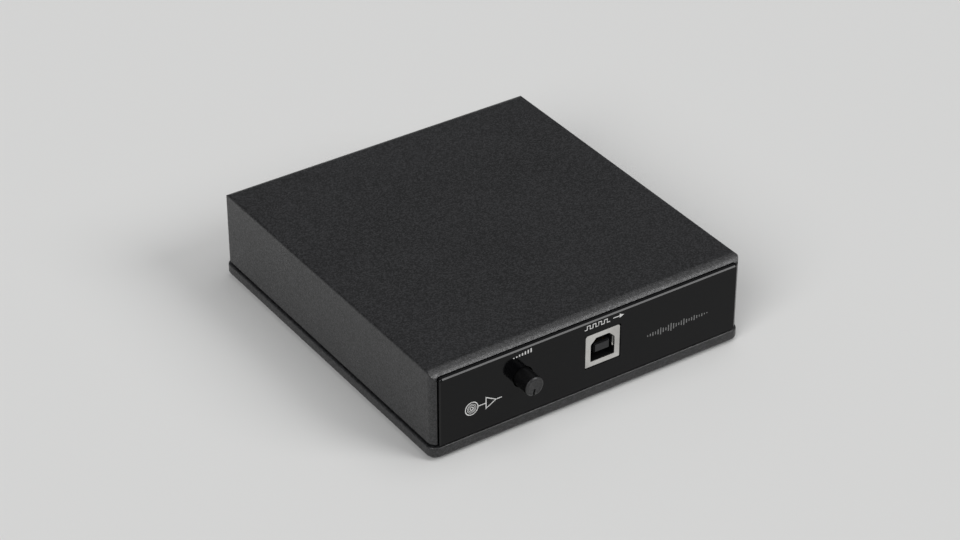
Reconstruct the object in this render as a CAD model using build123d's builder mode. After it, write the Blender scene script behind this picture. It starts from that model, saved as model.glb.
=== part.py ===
from build123d import *

import os

# A compact phono preamplifier with a USB output, in millimetres.
# The front faces -Y, +X is to the right seen from the front, and +Z is up.
# The origin is on the floor, under the middle of the whole object's box.
#
# The case is a moulded cover over a shallow tray. The cover's front and rear
# rims and the tray's end walls trap a panel at each end, and one circuit board
# on standoffs carries every socket and control.

os.makedirs("parts", exist_ok=True)

# ---- Case ------------------------------------------------------------------
case_width = 108.3
case_depth = 116.1
case_height = 29.0
foot_drop = 1.0
corner_radius = 2.5
end_edge_radius = 4.0
fold_radius = 1.0
wall = 1.3
rim_thickness = 2.2
rim_width = 1.7
tray_band = 3.7
tray_proud = 0.5
tray_floor = 2.0
tray_edge_chamfer = 0.5
tray_sole_radius = 1.0
shadow_gap = 0.9
lip_thickness = 1.2
lip_rise = 3.2
lip_slip = 0.1
rib_thickness = 1.2
rib_height = 2.5
rib_inset = 4.0
floor_rib_height = 1.6
floor_rib_spacing = 30.0

# ---- Panels ----------------------------------------------------------------
panel_proud = 0.9
panel_gap = 0.3
panel_foot_gap = 0.5
panel_flange = 1.2
panel_bevel = 0.3
panel_corner_radius = 1.0
flange_slip = 0.1
rear_plate = 1.5

# ---- Screws, bosses and feet -----------------------------------------------
boss_radius = 3.2
boss_inset = 6.5
boss_setback = 8.5
boss_room = 1.0
screw_core_radius = 1.2
thread_slip = 0.05
screw_hole_radius = 1.7
pilot_depth = 8.0
sink_radius = 3.0
case_head_radius = 2.7
sink_slip = 0.1
recess_length = 2.6
recess_width = 0.6
recess_depth = 0.9
standoff_radius = 3.2
standoff_height = 7.7
standoff_inset = 12.0
standoff_setback = 22.0
pan_head_radius = 2.8
pan_head_height = 1.9
head_chamfer = 0.6
board_screw_bite = 5.0
foot_radius = 5.0
foot_sink = 0.8
foot_slip = 0.1
foot_chamfer = 0.4
foot_inset = 16.0

# ---- Circuit board ---------------------------------------------------------
board_thickness = 1.6
board_side_room = 2.0
board_end_room = 0.5
leg_reach = 1.4
leg_room = 0.15
seat_slip = 0.02

# ---- Level control ---------------------------------------------------------
level_x = -24.15
level_axis_height = 6.0
knob_reach = 6.0
knob_radius = 3.05
knob_chamfer = 0.35
knob_face_wall = 2.0
knob_room = 0.35
notch_angle = 12.0
notch_width = 0.8
notch_depth = 0.5
notch_start = 0.7
shaft_radius = 2.0
shaft_flat = 1.5
shaft_bearing_slip = 0.05
bush_radius = 2.9
bush_length = 2.2
turning_room = 0.3
pot_setback = 1.6
pot_plate = 0.8
pot_width = 9.8
pot_crown = 5.2
pot_crown_radius = 1.5
pot_wall = 1.6
rotor_radius = 3.9
rotor_thickness = 1.6
wiper_thickness = 0.3
wiper_tip = 0.3
wiper_tip_radius = 0.6
track_thickness = 1.0
pot_leg_width = 0.8
pot_leg_thickness = 0.5
pot_leg_pitch = 2.5
pot_leg_rise = 3.0
pot_bracket_leg = 1.2

# ---- USB socket ------------------------------------------------------------
usb_x = 3.65
usb_width = 12.04
usb_height = 11.0
usb_depth = 16.4
usb_recess = 0.2
usb_sheet = 0.4
usb_corner = 0.5
usb_mouth_width = 8.45
usb_mouth_height = 7.78
usb_mouth_chamfer = 1.9
usb_mouth_depth = 8.8
usb_room = 0.25
tongue_width = 5.6
tongue_height = 3.2
tongue_setback = 0.3
contact_width = 1.0
contact_thickness = 0.3
contact_pitch = 2.5
contact_setback = 0.8
contact_row_gap = 2.0
finger_width = 3.0
finger_rise = 0.7
finger_bulge = 0.4
finger_root = 6.4
finger_crest = 1.5
finger_tip = 0.7
usb_tab_width = 2.2
usb_tab_setback = 8.0

# ---- Phono and line sockets ------------------------------------------------
socket_axis_height = 6.8
socket_pitch = 14.0
socket_side = 10.0
socket_block_depth = 10.5
socket_block_crown = 5.4
socket_block_edge = 0.5
barrel_radius = 4.15
barrel_bore_radius = 3.45
barrel_reach = 9.0
barrel_chamfer = 0.3
barrel_root_radius = 4.4
barrel_sink = 3.0
barrel_stem_radius = 3.85
collar_radius = 4.9
collar_thickness = 0.8
socket_room = 0.3
insulator_setback = 0.4
cup_radius = 2.3
pin_bore_radius = 1.65
cup_length = 5.0
socket_leg_width = 1.6
socket_leg_thickness = 0.5
block_screw_radius = 2.6
block_screw_head = 1.6
block_screw_rise = 3.2

# ---- Ground post -----------------------------------------------------------
stud_radius = 2.0
stud_reach = 13.0
stud_head_radius = 3.4
stud_head_height = 2.4
stud_slip = 0.03
bracket_thickness = 0.8
bracket_width = 9.0
bracket_crown = 4.4
bracket_foot = 5.5
lock_nut_width = 7.0
lock_nut_height = 2.2
washer_radius = 4.5
washer_bore_radius = 2.2
washer_thickness = 0.8
washer_room = 0.3
thumb_nut_radius = 4.75
thumb_nut_height = 5.0
thumb_nut_hub_radius = 3.6
thumb_nut_hub_height = 1.0
thumb_nut_chamfer = 0.4
thumb_nut_slip = 0.05
thumb_nut_room = 0.1
knurl_count = 24
knurl_depth = 0.35
knurl_groove = 0.5

# ---- Power socket ----------------------------------------------------------
jack_width = 9.0
jack_depth = 12.5
jack_axis_height = 6.5
jack_crown = 4.5
jack_chamfer = 1.0
jack_nose_radius = 4.2
jack_bore_radius = 3.15
jack_bore_depth = 9.5
jack_pin_radius = 1.0
jack_pin_setback = 0.8
jack_spring_width = 2.4
jack_spring_rise = 0.3
jack_spring_setback = 1.0
jack_leg_width = 2.0
jack_leg_thickness = 0.4

# ---- Parts on the board ----------------------------------------------------
supply_can_radius = 5.0
supply_can_height = 12.5
coupling_can_radius = 3.15
coupling_can_height = 7.5
can_chamfer = 0.4
can_groove_depth = 0.4
can_groove_height = 1.2
film_length = 7.2
film_thickness = 3.5
film_height = 6.5
film_edge_radius = 0.4
opamp_length = 9.6
opamp_width = 6.4
opamp_height = 3.3
opamp_lift = 0.5
opamp_leg_pitch = 2.54
opamp_leg_width = 1.2
opamp_leg_thickness = 0.3
opamp_row_pitch = 7.6
opamp_key_radius = 0.9
opamp_key_depth = 0.4
codec_length = 10.2
codec_width = 5.3
codec_height = 1.8
codec_leg_pitch = 0.65
codec_leg_width = 0.3
codec_leg_reach = 1.2
codec_leg_thickness = 0.2
codec_leg_count = 14
crystal_length = 11.0
crystal_width = 4.6
crystal_height = 3.4
crystal_flange = 0.4
crystal_flange_rim = 0.4
regulator_width = 6.5
regulator_length = 6.1
regulator_height = 2.3
regulator_tab = 1.1
regulator_tab_thickness = 0.5
regulator_leg_width = 0.8
regulator_leg_reach = 2.6
regulator_leg_pitch = 4.6
relay_length = 14.0
relay_width = 9.0
relay_height = 8.5
relay_edge_radius = 0.6
choke_radius = 4.0
choke_waist_radius = 3.2
choke_height = 9.0
choke_rim = 1.4
resistor_length = 6.3
resistor_radius = 1.15
resistor_waist_radius = 0.85
resistor_end_length = 1.4
resistor_span = 10.0
resistor_count = 6
resistor_pitch = 6.0
resistor_wire = 0.5

# ---- Levels and lines worked out from the sizes above -----------------------
floor_z = foot_drop + tray_floor
tray_edge_z = foot_drop + tray_band
lip_top_z = tray_edge_z + lip_rise
cover_z = tray_edge_z + shadow_gap
roof_z = foot_drop + case_height
roof_under_z = roof_z - wall
cover_height = roof_z - cover_z
board_z = floor_z + standoff_height
board_top_z = board_z + board_thickness
leg_end_z = board_z - leg_reach
level_z = board_top_z + level_axis_height
usb_z = board_top_z + usb_height / 2
socket_z = board_top_z + socket_axis_height
jack_z = board_top_z + jack_axis_height

whole_depth = knob_reach + panel_proud + case_depth - rim_thickness + stud_reach
face_y = knob_reach - whole_depth / 2
rim_front_y = face_y + panel_proud
rim_rear_y = rim_front_y + case_depth
middle_y = (rim_front_y + rim_rear_y) / 2
bay_front_y = rim_front_y + rim_thickness
bay_rear_y = rim_rear_y - rim_thickness
panel_back_y = bay_front_y + panel_flange
rear_inside_y = bay_rear_y - rear_plate
board_front_y = panel_back_y + board_end_room
board_rear_y = rear_inside_y - board_end_room

bay_width = case_width - 2 * wall
lip_outside_x = bay_width / 2 - lip_slip
lip_inside_x = lip_outside_x - lip_thickness
lip_middle_x = lip_outside_x - lip_thickness / 2
flange_width = bay_width - 2 * flange_slip
flange_height = roof_under_z - flange_slip - floor_z
front_rib_y = panel_back_y + flange_slip + rib_thickness / 2
rear_rib_y = rear_inside_y - flange_slip - rib_thickness / 2
rib_length = 2 * (lip_inside_x - rib_inset)

boss_x = case_width / 2 - boss_inset
boss_y = case_depth / 2 - boss_setback
boss_places = [(x, middle_y + y) for x in (-boss_x, boss_x) for y in (-boss_y, boss_y)]
standoff_x = case_width / 2 - standoff_inset
standoff_y = case_depth / 2 - standoff_setback
standoff_places = [
    (x, middle_y + y) for x in (-standoff_x, standoff_x) for y in (-standoff_y, standoff_y)
]
foot_x = case_width / 2 - foot_inset
foot_y = case_depth / 2 - foot_inset

board_width = bay_width - 2 * board_side_room
board_depth = board_rear_y - board_front_y

# The rear sockets share the width between the rear bosses with equal gaps.
block_width = socket_pitch + socket_side
rear_room = 2 * (boss_x - boss_radius - boss_room)
rear_gap = (rear_room - jack_width - 2 * block_width - bracket_width) / 3
jack_x = (jack_width - rear_room) / 2
ground_x = (rear_room - bracket_width) / 2
block_x = (rear_gap + block_width) / 2
sockets = {
    "line_out_right": -block_x - socket_pitch / 2,
    "line_out_left": -block_x + socket_pitch / 2,
    "phono_in_right": block_x - socket_pitch / 2,
    "phono_in_left": block_x + socket_pitch / 2,
}


def save(piece, name):
    piece.label = name
    export_step(piece, f"parts/{name}.step")


def upright(y):
    """The upright plane at y seen from the front: sketch X is X and sketch Y is Z."""
    return Plane(origin=(0, y, 0), x_dir=(1, 0, 0), z_dir=(0, -1, 0))


def lengthwise(x, z):
    """The plane along a front-to-back axis: sketch X is Y and sketch Y is the radius."""
    return Plane(origin=(x, 0, z), x_dir=(0, 1, 0), z_dir=(1, 0, 0))


def lengthwise_axis(x, z):
    return Axis((x, 0, z), (0, 1, 0))


def standing(x, y):
    """The plane along an upright axis: sketch X is the radius and sketch Y is Z."""
    return Plane(origin=(x, y, 0), x_dir=(1, 0, 0), z_dir=(0, -1, 0))


def standing_axis(x, y):
    return Axis((x, y, 0), (0, 0, 1))


# ---- Top cover ---------------------------------------------------------------
# One moulding: roof, sides, and a narrow rim round an opening at each end. Its
# ends roll down in a large radius and meet the rounded uprights in a crease, so
# the form is where a plan, a side view and an end view cross.
with BuildPart() as top_cover:
    with BuildSketch(Plane.XY.offset(cover_z)):
        with Locations((0, middle_y)):
            RectangleRounded(case_width, case_depth, corner_radius)
    extrude(amount=cover_height)
    with BuildSketch(Plane.YZ) as side_view:
        with Locations((middle_y, cover_z)):
            Rectangle(case_depth, cover_height, align=(Align.CENTER, Align.MIN))
        fillet(side_view.vertices().group_by(Axis.Y)[-1], radius=end_edge_radius)
    extrude(amount=case_width, both=True, mode=Mode.INTERSECT)
    with BuildSketch(upright(middle_y)) as end_view:
        with Locations((0, cover_z)):
            Rectangle(case_width, cover_height, align=(Align.CENTER, Align.MIN))
        fillet(end_view.vertices().group_by(Axis.Y)[-1], radius=fold_radius)
    extrude(amount=case_depth, both=True, mode=Mode.INTERSECT)
    # The hollow, and the two openings that the rims frame.
    with BuildSketch(Plane.XY.offset(cover_z)):
        with Locations((0, middle_y)):
            Rectangle(bay_width, bay_rear_y - bay_front_y)
    extrude(amount=roof_under_z - cover_z, mode=Mode.SUBTRACT)
    with BuildSketch(upright(middle_y)) as opening_view:
        with Locations((0, cover_z)):
            Rectangle(
                case_width - 2 * rim_width,
                cover_height - rim_width,
                align=(Align.CENTER, Align.MIN),
            )
        fillet(opening_view.vertices().group_by(Axis.Y)[-1], radius=panel_corner_radius)
    extrude(amount=case_depth, both=True, mode=Mode.SUBTRACT)
    # Ribs under the roof stand behind the panels.
    with BuildSketch(Plane.XY.offset(roof_under_z)):
        with Locations((0, front_rib_y), (0, rear_rib_y)):
            Rectangle(rib_length, rib_thickness)
    extrude(amount=-rib_height)
    # Screw bosses reach down to the tray's floor, each tied to its side wall.
    with BuildSketch(Plane.XY.offset(floor_z)):
        with Locations(*boss_places):
            Circle(boss_radius)
    extrude(amount=roof_under_z - floor_z)
    with BuildSketch(Plane.XY.offset(lip_top_z + shadow_gap)):
        for x, y in boss_places:
            side = 1 if x > 0 else -1
            with Locations((side * (boss_x + bay_width / 2) / 2, y)):
                Rectangle(bay_width / 2 - boss_x, rib_thickness)
    extrude(amount=roof_under_z - lip_top_z - shadow_gap)
    with BuildSketch(Plane.XY.offset(floor_z)):
        with Locations(*boss_places):
            Circle(screw_core_radius + thread_slip)
    extrude(amount=pilot_depth, mode=Mode.SUBTRACT)
save(top_cover.part, "top_cover")

# ---- Base tray ---------------------------------------------------------------
# A shallow moulded tray, a little wider than the cover, whose side lips stand
# inside the cover's walls. Low ribs across each end hold the panels' lower edges.
with BuildPart() as base_tray:
    with BuildSketch(Plane.XY.offset(foot_drop)):
        with Locations((0, middle_y)):
            RectangleRounded(
                case_width + 2 * tray_proud,
                case_depth + 2 * tray_proud,
                corner_radius + tray_proud,
            )
    extrude(amount=tray_band)
    fillet(base_tray.faces().sort_by(Axis.Z)[0].edges(), radius=tray_sole_radius)
    chamfer(base_tray.faces().sort_by(Axis.Z)[-1].edges(), length=tray_edge_chamfer)
    with BuildSketch(Plane.XY.offset(floor_z)):
        with Locations((0, middle_y)):
            Rectangle(2 * lip_inside_x, bay_rear_y - bay_front_y)
        with Locations((0, bay_front_y)):
            Rectangle(bay_width, panel_flange + flange_slip, align=(Align.CENTER, Align.MIN))
        with Locations((0, bay_rear_y)):
            Rectangle(bay_width, rear_plate + flange_slip, align=(Align.CENTER, Align.MAX))
    extrude(amount=tray_band, mode=Mode.SUBTRACT)
    # Side lips, ending at the panels.
    with BuildSketch(Plane.XY.offset(tray_edge_z)):
        for side in (-1, 1):
            with Locations((side * lip_middle_x, (front_rib_y + rear_rib_y) / 2)):
                Rectangle(lip_thickness, rear_rib_y - front_rib_y)
    extrude(amount=lip_rise)
    # End ribs, floor ribs and standoffs.
    with BuildSketch(Plane.XY.offset(floor_z)):
        with Locations((0, front_rib_y), (0, rear_rib_y)):
            Rectangle(rib_length, rib_thickness)
    extrude(amount=rib_height)
    with BuildSketch(Plane.XY.offset(floor_z)):
        with Locations((0, middle_y)):
            with GridLocations(floor_rib_spacing, 0, 3, 1):
                Rectangle(rib_thickness, 2 * standoff_y)
    extrude(amount=floor_rib_height)
    with BuildSketch(Plane.XY.offset(floor_z)):
        with Locations(*standoff_places):
            Circle(standoff_radius)
    extrude(amount=standoff_height)
    with Locations(*[(x, y, board_z) for x, y in standoff_places]):
        Hole(screw_core_radius + thread_slip, depth=pilot_depth)
    # Countersunk screw holes and the sockets of the feet, from below.
    with Locations(*[Plane(origin=(x, y, foot_drop), z_dir=(0, 0, -1)) for x, y in boss_places]):
        CounterSinkHole(screw_hole_radius, sink_radius, depth=tray_floor, counter_sink_angle=90)
    with BuildSketch(Plane.XY.offset(foot_drop)):
        with Locations((0, middle_y)):
            with GridLocations(2 * foot_x, 2 * foot_y, 2, 2):
                Circle(foot_radius + foot_slip)
    extrude(amount=foot_sink, mode=Mode.SUBTRACT)
save(base_tray.part, "base_tray")

# ---- Feet --------------------------------------------------------------------
# Low rubber discs stuck into round recesses under the tray.
foot_names = {
    "foot_front_left": (-foot_x, middle_y - foot_y),
    "foot_front_right": (foot_x, middle_y - foot_y),
    "foot_rear_left": (-foot_x, middle_y + foot_y),
    "foot_rear_right": (foot_x, middle_y + foot_y),
}
for name, (x, y) in foot_names.items():
    with BuildPart() as foot:
        with BuildSketch():
            with Locations((x, y)):
                Circle(foot_radius)
        extrude(amount=foot_drop + foot_sink)
        chamfer(foot.faces().sort_by(Axis.Z)[0].edges(), length=foot_chamfer)
    save(foot.part, name)

# ---- Case screws -------------------------------------------------------------
# Countersunk screws go up through the tray into the cover's bosses.
with BuildPart() as case_screws:
    head_z = foot_drop + sink_slip
    neck_z = head_z + case_head_radius - screw_core_radius
    screw_top_z = floor_z + pilot_depth - screw_core_radius
    for x, y in boss_places:
        with BuildSketch(standing(x, y)):
            with BuildLine():
                Polyline(
                    (0, head_z),
                    (case_head_radius, head_z),
                    (screw_core_radius, neck_z),
                    (screw_core_radius, screw_top_z - screw_core_radius),
                    (0, screw_top_z),
                    close=True,
                )
            make_face()
        revolve(axis=standing_axis(x, y))
    with BuildSketch(Plane.XY.offset(head_z)):
        with Locations(*boss_places):
            Rectangle(recess_length, recess_width)
            Rectangle(recess_width, recess_length)
    extrude(amount=recess_depth, mode=Mode.SUBTRACT)
save(case_screws.part, "case_screws")

# ---- Front panel ---------------------------------------------------------------
# A gloss plate whose face stands a little proud through the cover's rim. A
# thinner flange round it sits behind the rim and in the tray's groove.
field_width = case_width - 2 * (rim_width + panel_gap)
field_bottom_z = tray_edge_z + panel_foot_gap
field_top_z = roof_z - rim_width - panel_gap
with BuildPart() as front_panel:
    with BuildSketch(upright(panel_back_y)):
        with Locations((0, floor_z)):
            Rectangle(flange_width, flange_height, align=(Align.CENTER, Align.MIN))
    extrude(amount=panel_flange)
    with BuildSketch(upright(bay_front_y)) as field_view:
        with Locations((0, field_bottom_z)):
            Rectangle(field_width, field_top_z - field_bottom_z, align=(Align.CENTER, Align.MIN))
        fillet(field_view.vertices().group_by(Axis.Y)[-1], radius=panel_corner_radius)
    extrude(amount=rim_thickness + panel_proud)
    chamfer(front_panel.faces().sort_by(Axis.Y)[0].edges(), length=panel_bevel)
    with BuildSketch(upright(panel_back_y)):
        with Locations((level_x, level_z)):
            Circle(knob_radius + knob_room)
        with Locations((usb_x, usb_z)):
            Rectangle(usb_width + 2 * usb_room, usb_height + 2 * usb_room)
    extrude(amount=panel_back_y - face_y, mode=Mode.SUBTRACT)
save(front_panel.part, "front_panel")

# ---- Rear panel ----------------------------------------------------------------
# A flat steel plate set back behind the rear rim, with a round hole for each socket.
ground_z = socket_z
with BuildPart() as rear_panel:
    with BuildSketch(upright(bay_rear_y)):
        with Locations((0, floor_z)):
            Rectangle(flange_width, flange_height, align=(Align.CENTER, Align.MIN))
        with Locations(*[(x, socket_z) for x in sockets.values()]):
            Circle(barrel_root_radius + socket_room, mode=Mode.SUBTRACT)
        with Locations((jack_x, jack_z)):
            Circle(jack_nose_radius + socket_room, mode=Mode.SUBTRACT)
        with Locations((ground_x, ground_z)):
            Circle(stud_radius + socket_room, mode=Mode.SUBTRACT)
        with Locations(*[(x, socket_z + block_screw_rise) for x in (-block_x, block_x)]):
            Circle(screw_hole_radius, mode=Mode.SUBTRACT)
    extrude(amount=rear_plate)
save(rear_panel.part, "rear_panel")

# ---- Level control: fixed pieces -------------------------------------------------
pot_y = panel_back_y + pot_setback
housing_y = pot_y + pot_plate
rotor_y = housing_y + pot_wall + turning_room
wiper_y = rotor_y + rotor_thickness
track_y = wiper_y + wiper_thickness + wiper_tip + turning_room
pot_height = level_axis_height + pot_crown
pot_leg_places = [(level_x + i * pot_leg_pitch, track_y + track_thickness) for i in (-1, 0, 1)]
bracket_leg_x = (pot_width - pot_bracket_leg) / 2

with BuildPart() as pot_front_plate:
    with BuildSketch(upright(housing_y)) as plate_view:
        with Locations((level_x, board_top_z)):
            Rectangle(pot_width, pot_height, align=(Align.CENTER, Align.MIN))
        fillet(plate_view.vertices().group_by(Axis.Y)[-1], radius=pot_crown_radius)
        with Locations((level_x - bracket_leg_x, leg_end_z), (level_x + bracket_leg_x, leg_end_z)):
            Rectangle(pot_bracket_leg, board_top_z - leg_end_z, align=(Align.CENTER, Align.MIN))
    extrude(amount=pot_plate)
    with BuildSketch(upright(pot_y)):
        with Locations((level_x, level_z)):
            Circle(bush_radius)
    extrude(amount=bush_length)
    with BuildSketch(upright(housing_y)):
        with Locations((level_x, level_z)):
            Circle(shaft_radius + shaft_bearing_slip)
    extrude(amount=pot_plate + bush_length, mode=Mode.SUBTRACT)
save(pot_front_plate.part, "pot_front_plate")

with BuildPart() as pot_housing:
    with BuildSketch(upright(track_y)) as housing_view:
        with Locations((level_x, board_top_z)):
            Rectangle(pot_width, pot_height, align=(Align.CENTER, Align.MIN))
        fillet(housing_view.vertices().group_by(Axis.Y)[-1], radius=pot_crown_radius)
    extrude(amount=track_y - housing_y)
    with BuildSketch(upright(track_y)):
        with Locations((level_x, level_z)):
            Circle(rotor_radius + turning_room)
    extrude(amount=track_y - housing_y - pot_wall, mode=Mode.SUBTRACT)
    with BuildSketch(upright(track_y)):
        with Locations((level_x, level_z)):
            Circle(shaft_radius + turning_room)
    extrude(amount=track_y - housing_y, mode=Mode.SUBTRACT)
save(pot_housing.part, "pot_housing")

with BuildPart() as pot_track:
    with BuildSketch(upright(track_y + track_thickness)) as track_view:
        with Locations((level_x, board_top_z)):
            Rectangle(pot_width, pot_height, align=(Align.CENTER, Align.MIN))
        fillet(track_view.vertices().group_by(Axis.Y)[-1], radius=pot_crown_radius)
    extrude(amount=track_thickness)
save(pot_track.part, "pot_track")

with BuildPart() as pot_terminals:
    with BuildSketch(upright(track_y + track_thickness + pot_leg_thickness)):
        for x, y in pot_leg_places:
            with Locations((x, leg_end_z)):
                Rectangle(
                    pot_leg_width,
                    board_top_z + pot_leg_rise - leg_end_z,
                    align=(Align.CENTER, Align.MIN),
                )
    extrude(amount=pot_leg_thickness)
save(pot_terminals.part, "pot_terminals")

# ---- Level control: turning pieces -----------------------------------------------
# The slim knob pushes onto a flatted shaft, which turns the rotor and its wiper.
knob_front_y = face_y - knob_reach
knob_back_y = pot_y - bush_length - turning_room
shaft_front_y = knob_front_y + knob_face_wall

with BuildPart() as level_knob:
    with BuildSketch(upright(knob_back_y)):
        with Locations((level_x, level_z)):
            Circle(knob_radius)
    extrude(amount=knob_back_y - knob_front_y)
    chamfer(level_knob.faces().sort_by(Axis.Y)[0].edges(), length=knob_chamfer)
    with BuildSketch(upright(knob_back_y)):
        with Locations((level_x, level_z)):
            Circle(shaft_radius + seat_slip)
        with Locations((level_x, level_z + shaft_flat + seat_slip)):
            Rectangle(
                2 * knob_radius, knob_radius, align=(Align.CENTER, Align.MIN), mode=Mode.SUBTRACT
            )
    extrude(amount=knob_back_y - shaft_front_y, mode=Mode.SUBTRACT)
    # The pointer is a notch in the face, cut from near the middle out to the edge.
    with BuildSketch(upright(knob_front_y + notch_depth)):
        with Locations(Location((level_x, level_z), -90 - notch_angle)):
            with Locations((notch_start, 0)):
                Rectangle(knob_radius, notch_width, align=(Align.MIN, Align.CENTER))
    extrude(amount=notch_depth, mode=Mode.SUBTRACT)
save(level_knob.part, "level_knob")

with BuildPart() as level_shaft:
    with BuildSketch(upright(wiper_y)):
        with Locations((level_x, level_z)):
            Circle(shaft_radius)
        with Locations((level_x, level_z + shaft_flat)):
            Rectangle(
                2 * shaft_radius, shaft_radius, align=(Align.CENTER, Align.MIN), mode=Mode.SUBTRACT
            )
    extrude(amount=wiper_y - shaft_front_y)
save(level_shaft.part, "level_shaft")

with BuildPart() as pot_rotor:
    with BuildSketch(upright(wiper_y)):
        with Locations((level_x, level_z)):
            Circle(rotor_radius)
    extrude(amount=rotor_thickness)
    with BuildSketch(upright(wiper_y)):
        with Locations((level_x, level_z)):
            Circle(shaft_radius + seat_slip)
        with Locations((level_x, level_z + shaft_flat + seat_slip)):
            Rectangle(
                2 * shaft_radius, shaft_radius, align=(Align.CENTER, Align.MIN), mode=Mode.SUBTRACT
            )
    extrude(amount=rotor_thickness, mode=Mode.SUBTRACT)
save(pot_rotor.part, "pot_rotor")

wiper_middle_radius = (rotor_radius + shaft_radius) / 2
with BuildPart() as pot_wiper:
    with BuildSketch(upright(wiper_y + wiper_thickness)):
        with Locations((level_x, level_z)):
            Circle(rotor_radius - turning_room)
            Circle(shaft_radius + turning_room, mode=Mode.SUBTRACT)
    extrude(amount=wiper_thickness)
    with BuildSketch(upright(wiper_y + wiper_thickness + wiper_tip)):
        with Locations((level_x, level_z - wiper_middle_radius)):
            Circle(wiper_tip_radius)
    extrude(amount=wiper_tip)
save(pot_wiper.part, "pot_wiper")

# ---- USB socket ------------------------------------------------------------------
# A folded sheet shell round a moulded body. The face has the socket's D-shaped
# mouth, and a leaf spring is sprung inward from each side of the shell.
usb_face_y = face_y + usb_recess
usb_body_y = usb_face_y + usb_sheet
usb_back_y = usb_face_y + usb_depth
usb_inside_x = usb_width / 2 - usb_sheet
finger_z = usb_z + finger_rise - finger_width / 2
mouth_x = usb_mouth_width / 2
window_inside_x = mouth_x - finger_bulge - seat_slip
usb_tab_y = usb_face_y + usb_tab_setback

with BuildPart() as usb_shell:
    with BuildSketch(upright(usb_back_y)) as shell_view:
        with Locations((usb_x, board_top_z)):
            Rectangle(usb_width, usb_height, align=(Align.CENTER, Align.MIN))
        chamfer(shell_view.vertices().group_by(Axis.Y)[-1], length=usb_corner)
    extrude(amount=usb_depth)
    with BuildSketch(upright(usb_back_y - usb_sheet)) as hollow_view:
        with Locations((usb_x, board_top_z)):
            Rectangle(2 * usb_inside_x, usb_height - usb_sheet, align=(Align.CENTER, Align.MIN))
        chamfer(hollow_view.vertices().group_by(Axis.Y)[-1], length=usb_corner)
    extrude(amount=usb_depth - 2 * usb_sheet, mode=Mode.SUBTRACT)
    with BuildSketch(upright(usb_body_y)) as mouth_view:
        with Locations((usb_x, usb_z)):
            Rectangle(usb_mouth_width, usb_mouth_height)
        chamfer(mouth_view.vertices().group_by(Axis.Y)[-1], length=usb_mouth_chamfer)
    extrude(amount=usb_sheet, mode=Mode.SUBTRACT)
    # Leaf springs, bent inward from the side walls.
    with BuildSketch(Plane.XY.offset(finger_z)):
        for side in (-1, 1):
            with BuildLine():
                Polyline(
                    (usb_x + side * usb_inside_x, usb_face_y + finger_root),
                    (usb_x + side * (mouth_x - finger_bulge), usb_face_y + finger_crest),
                    (usb_x + side * (mouth_x + finger_bulge), usb_face_y + finger_tip),
                    (usb_x + side * (mouth_x + finger_bulge + usb_sheet), usb_face_y + finger_tip),
                    (usb_x + side * (mouth_x - finger_bulge + usb_sheet), usb_face_y + finger_crest),
                    (usb_x + side * usb_inside_x, usb_face_y + finger_root - usb_sheet),
                    close=True,
                )
            make_face()
    extrude(amount=finger_width)
    # One locating tab each side goes down through the board.
    with BuildSketch(Plane.XY.offset(board_top_z)):
        for side in (-1, 1):
            with Locations((usb_x + side * (usb_width - usb_sheet) / 2, usb_tab_y)):
                Rectangle(usb_sheet, usb_tab_width)
    extrude(amount=leg_end_z - board_top_z)
save(usb_shell.part, "usb_shell")

# The four contacts lie on the tongue, pass through the body and turn down.
tongue_top_z = usb_z + tongue_height / 2
tongue_bottom_z = usb_z - tongue_height / 2
contact_start_y = usb_face_y + tongue_setback + contact_setback
upper_tail_y = usb_back_y - usb_sheet - contact_row_gap
lower_tail_y = upper_tail_y - contact_row_gap
contact_rows = [
    (tongue_top_z - contact_thickness, upper_tail_y),
    (tongue_bottom_z, lower_tail_y),
]
with BuildPart() as usb_contacts:
    for column in (-1, 1):
        contact_x = usb_x + column * contact_pitch / 2 - contact_width / 2
        for strip_z, tail_y in contact_rows:
            with BuildSketch(Plane.YZ.offset(contact_x)):
                with Locations((contact_start_y, strip_z)):
                    Rectangle(
                        tail_y - contact_start_y, contact_thickness, align=(Align.MIN, Align.MIN)
                    )
                with Locations((tail_y, leg_end_z)):
                    Rectangle(
                        contact_thickness,
                        strip_z + contact_thickness - leg_end_z,
                        align=(Align.MAX, Align.MIN),
                    )
            extrude(amount=contact_width)
save(usb_contacts.part, "usb_contacts")

with BuildPart() as usb_body:
    with BuildSketch(upright(usb_back_y - usb_sheet)) as body_view:
        with Locations((usb_x, board_top_z)):
            Rectangle(
                2 * (usb_inside_x - seat_slip),
                usb_height - usb_sheet - seat_slip,
                align=(Align.CENTER, Align.MIN),
            )
        chamfer(body_view.vertices().group_by(Axis.Y)[-1], length=usb_corner)
    extrude(amount=usb_back_y - usb_sheet - usb_body_y)
    with BuildSketch(upright(usb_body_y)) as cavity_view:
        with Locations((usb_x, usb_z)):
            Rectangle(usb_mouth_width, usb_mouth_height)
        chamfer(cavity_view.vertices().group_by(Axis.Y)[-1], length=usb_mouth_chamfer)
    extrude(amount=-usb_mouth_depth, mode=Mode.SUBTRACT)
    with BuildSketch(upright(usb_face_y + tongue_setback)):
        with Locations((usb_x, usb_z)):
            Rectangle(tongue_width, tongue_height)
    extrude(amount=tongue_setback - usb_sheet - usb_mouth_depth)
    # Windows in the side walls give the leaf springs room.
    with BuildSketch(Plane.XY.offset(finger_z - seat_slip)):
        for side in (-1, 1):
            with Locations((usb_x + side * (window_inside_x + usb_inside_x) / 2, usb_body_y)):
                Rectangle(
                    usb_inside_x - window_inside_x,
                    finger_root + usb_sheet,
                    align=(Align.CENTER, Align.MIN),
                )
    extrude(amount=finger_width + 2 * seat_slip, mode=Mode.SUBTRACT)
    add(usb_contacts.part, mode=Mode.SUBTRACT)
save(usb_body.part, "usb_body")

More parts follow.
